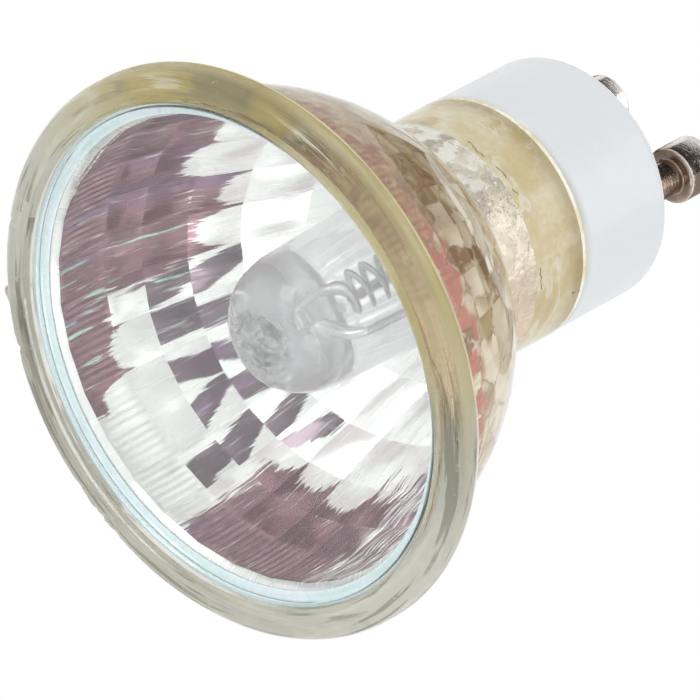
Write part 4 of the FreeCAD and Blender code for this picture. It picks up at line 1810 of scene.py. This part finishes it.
@dataclass
class Studio:
    """Camera at the photograph's angle, white surroundings, soft lamps, dark flags and a pale floor."""

    distance: float = 926.156
    target: tuple[float, float, float] = (-0.343, 7.419, 18.007)
    right: tuple[float, float, float] = (0.7282, -0.19, 0.6585)
    up: tuple[float, float, float] = (-0.524, -0.7737, 0.3562)
    lens: float = 573.556
    sensor: float = 36.0
    ambient: float = 0.84
    bounces: int = 16
    floor_size: float = 3.0
    floor_colour: Colour = (0.82, 0.82, 0.81)
    floor_drop: float = 0.02
    lamps: tuple[SoftLamp, ...] = (
        SoftLamp("key_lamp", place=(-0.28, -0.52, -0.59), size=0.3, power=1.05),
        SoftLamp("low_lamp", place=(0.51, 0.12, -0.65), size=0.35, power=0.8),
        SoftLamp("rear_lamp", place=(0.6, -0.3, 0.6), size=0.7, power=1.5))
    flags: tuple[Flag, ...] = (
        Flag("dark_flag", colour=(0.02, 0.017, 0.015), sector=(-158.0, -12.0)),
        Flag("brown_flag", colour=(0.3, 0.24, 0.2), sector=(-12.0, 168.0)))

    def light_paths(self) -> None:
        """Lets light cross the many walls of glass."""
        paths = bpy.context.scene.cycles
        paths.max_bounces = paths.transmission_bounces = self.bounces
        paths.glossy_bounces = self.bounces
        paths.diffuse_bounces = self.bounces // 2
        paths.blur_glossy = 0.0

    def camera(self) -> None:
        """Long-lens camera that looks up into the front of the lamp."""
        right, up = Vector(self.right).normalized(), Vector(self.up)
        up = (up - right * up.dot(right)).normalized()
        back = right.cross(up)
        data = bpy.data.cameras.new("studio_camera")
        data.lens, data.sensor_width = self.lens, self.sensor
        data.clip_start, data.clip_end = 0.01, 20.0
        camera = bpy.data.objects.new("studio_camera", data)
        place = (Vector(self.target) + back * self.distance) * MM
        camera.matrix_world = Matrix.Translation(place) @ Matrix((right, up, back)).transposed().to_4x4()
        bpy.context.scene.collection.objects.link(camera)
        bpy.context.scene.camera = camera

    def world(self) -> None:
        """Surroundings that show white and light the lamp at a plain level."""
        world = bpy.data.worlds.new("white_surroundings")
        world.use_nodes = True
        world.node_tree.nodes.clear()
        shading = Shading(world.node_tree)
        path = shading.add("LightPath").outputs
        seen = shading.maths("MAXIMUM", path["Is Camera Ray"], path["Is Glossy Ray"])
        seen = shading.maths("MAXIMUM", seen, path["Is Transmission Ray"])
        lit = shading.add("Background", {"Color": (1.0, 1.0, 1.0), "Strength": self.ambient})
        white = shading.add("Background", {"Color": (1.0, 1.0, 1.0), "Strength": 1.0})
        both = shading.add("MixShader", {0: seen, 1: lit.outputs[0], 2: white.outputs[0]})
        shading.feed(shading.add("OutputWorld").inputs["Surface"], both.outputs[0])
        bpy.context.scene.world = world

    def light(self, lamp: SoftLamp) -> None:
        """Hangs a lamp so that it faces the object.

        Args:
            lamp: The lamp.
        """
        data = bpy.data.lights.new(lamp.name, "AREA")
        data.size, data.energy = lamp.size, lamp.power
        made = bpy.data.objects.new(lamp.name, data)
        made.location = lamp.place
        made.rotation_mode = "QUATERNION"
        towards = Vector(self.target) * MM - Vector(lamp.place)
        made.rotation_quaternion = towards.to_track_quat("-Z", "Y")
        bpy.context.scene.collection.objects.link(made)

    def hang_flag(self, flag: Flag) -> None:
        """Hangs a card that only reflections show, so that the plated metal has contrast.

        Args:
            flag: The card.
        """
        turns = np.radians(np.linspace(*flag.sector, 25))
        points = [(radius * math.cos(turn) * MM, radius * math.sin(turn) * MM, height * MM)
                  for radius, height in (flag.low, flag.high) for turn in turns]
        count = len(turns)
        faces = [(side, side + 1, side + 1 + count, side + count) for side in range(count - 1)]
        mesh = bpy.data.meshes.new(flag.name)
        mesh.from_pydata(points, [], faces)
        card = link_mesh(flag.name, mesh)
        material = bpy.data.materials.new(flag.name)
        material.use_nodes = True
        paint = material.node_tree.nodes["Principled BSDF"]
        paint.inputs["Base Color"].default_value = (*flag.colour, 1.0)
        paint.inputs["Roughness"].default_value = 0.9
        mesh.materials.append(material)
        card.visible_camera = card.visible_diffuse = card.visible_shadow = card.visible_transmission = False

    def floor(self) -> None:
        """Pale floor that shows from above with the lamp's shadow, and not from below."""
        mesh = bpy.data.meshes.new("pale_floor")
        half = self.floor_size / 2
        corners = [(-half, -half, 0), (half, -half, 0), (half, half, 0), (-half, half, 0)]
        mesh.from_pydata(corners, [], [(0, 1, 2, 3)])
        floor = link_mesh("pale_floor", mesh)
        floor.location.z = -self.floor_drop * MM
        material = bpy.data.materials.new("pale_floor")
        material.use_nodes = True
        shading = Shading(material.node_tree)
        paint = material.node_tree.nodes["Principled BSDF"]
        grain = shading.noise(shading.place(), 300.0, 3.0)
        shading.feed(paint.inputs["Base Color"], shading.mix(
            shading.band(grain, 0.3, 0.7), self.floor_colour, dimmed(self.floor_colour, 0.97)))
        paint.inputs["Roughness"].default_value = 0.8
        below = shading.add("NewGeometry").outputs["Backfacing"]
        clear = shading.add("BsdfTransparent")
        both = shading.add("MixShader", {0: below, 1: paint.outputs[0], 2: clear.outputs[0]})
        shading.feed(material.node_tree.nodes["Material Output"].inputs["Surface"], both.outputs[0])
        mesh.materials.append(material)
        floor.visible_diffuse = floor.visible_glossy = False
        floor.visible_transmission = floor.visible_shadow = False

    def build(self) -> None:
        """Sets up the whole studio."""
        bpy.context.scene.view_settings.view_transform = "Standard"
        self.light_paths()
        self.camera()
        self.world()
        for lamp in self.lamps:
            self.light(lamp)
        for flag in self.flags:
            self.hang_flag(flag)
        self.floor()


def main() -> None:
    """Dresses the lamp and sets up the studio."""
    logging.basicConfig(level=logging.INFO, format="%(name)s: %(message)s")
    effects = Effects()
    for assembly in (Reflector(), FrontCover(), Capsule(), CeramicBase(), ContactPins()):
        assembly.dress(effects)
    Studio().build()


if __name__ == "__main__":
    main()
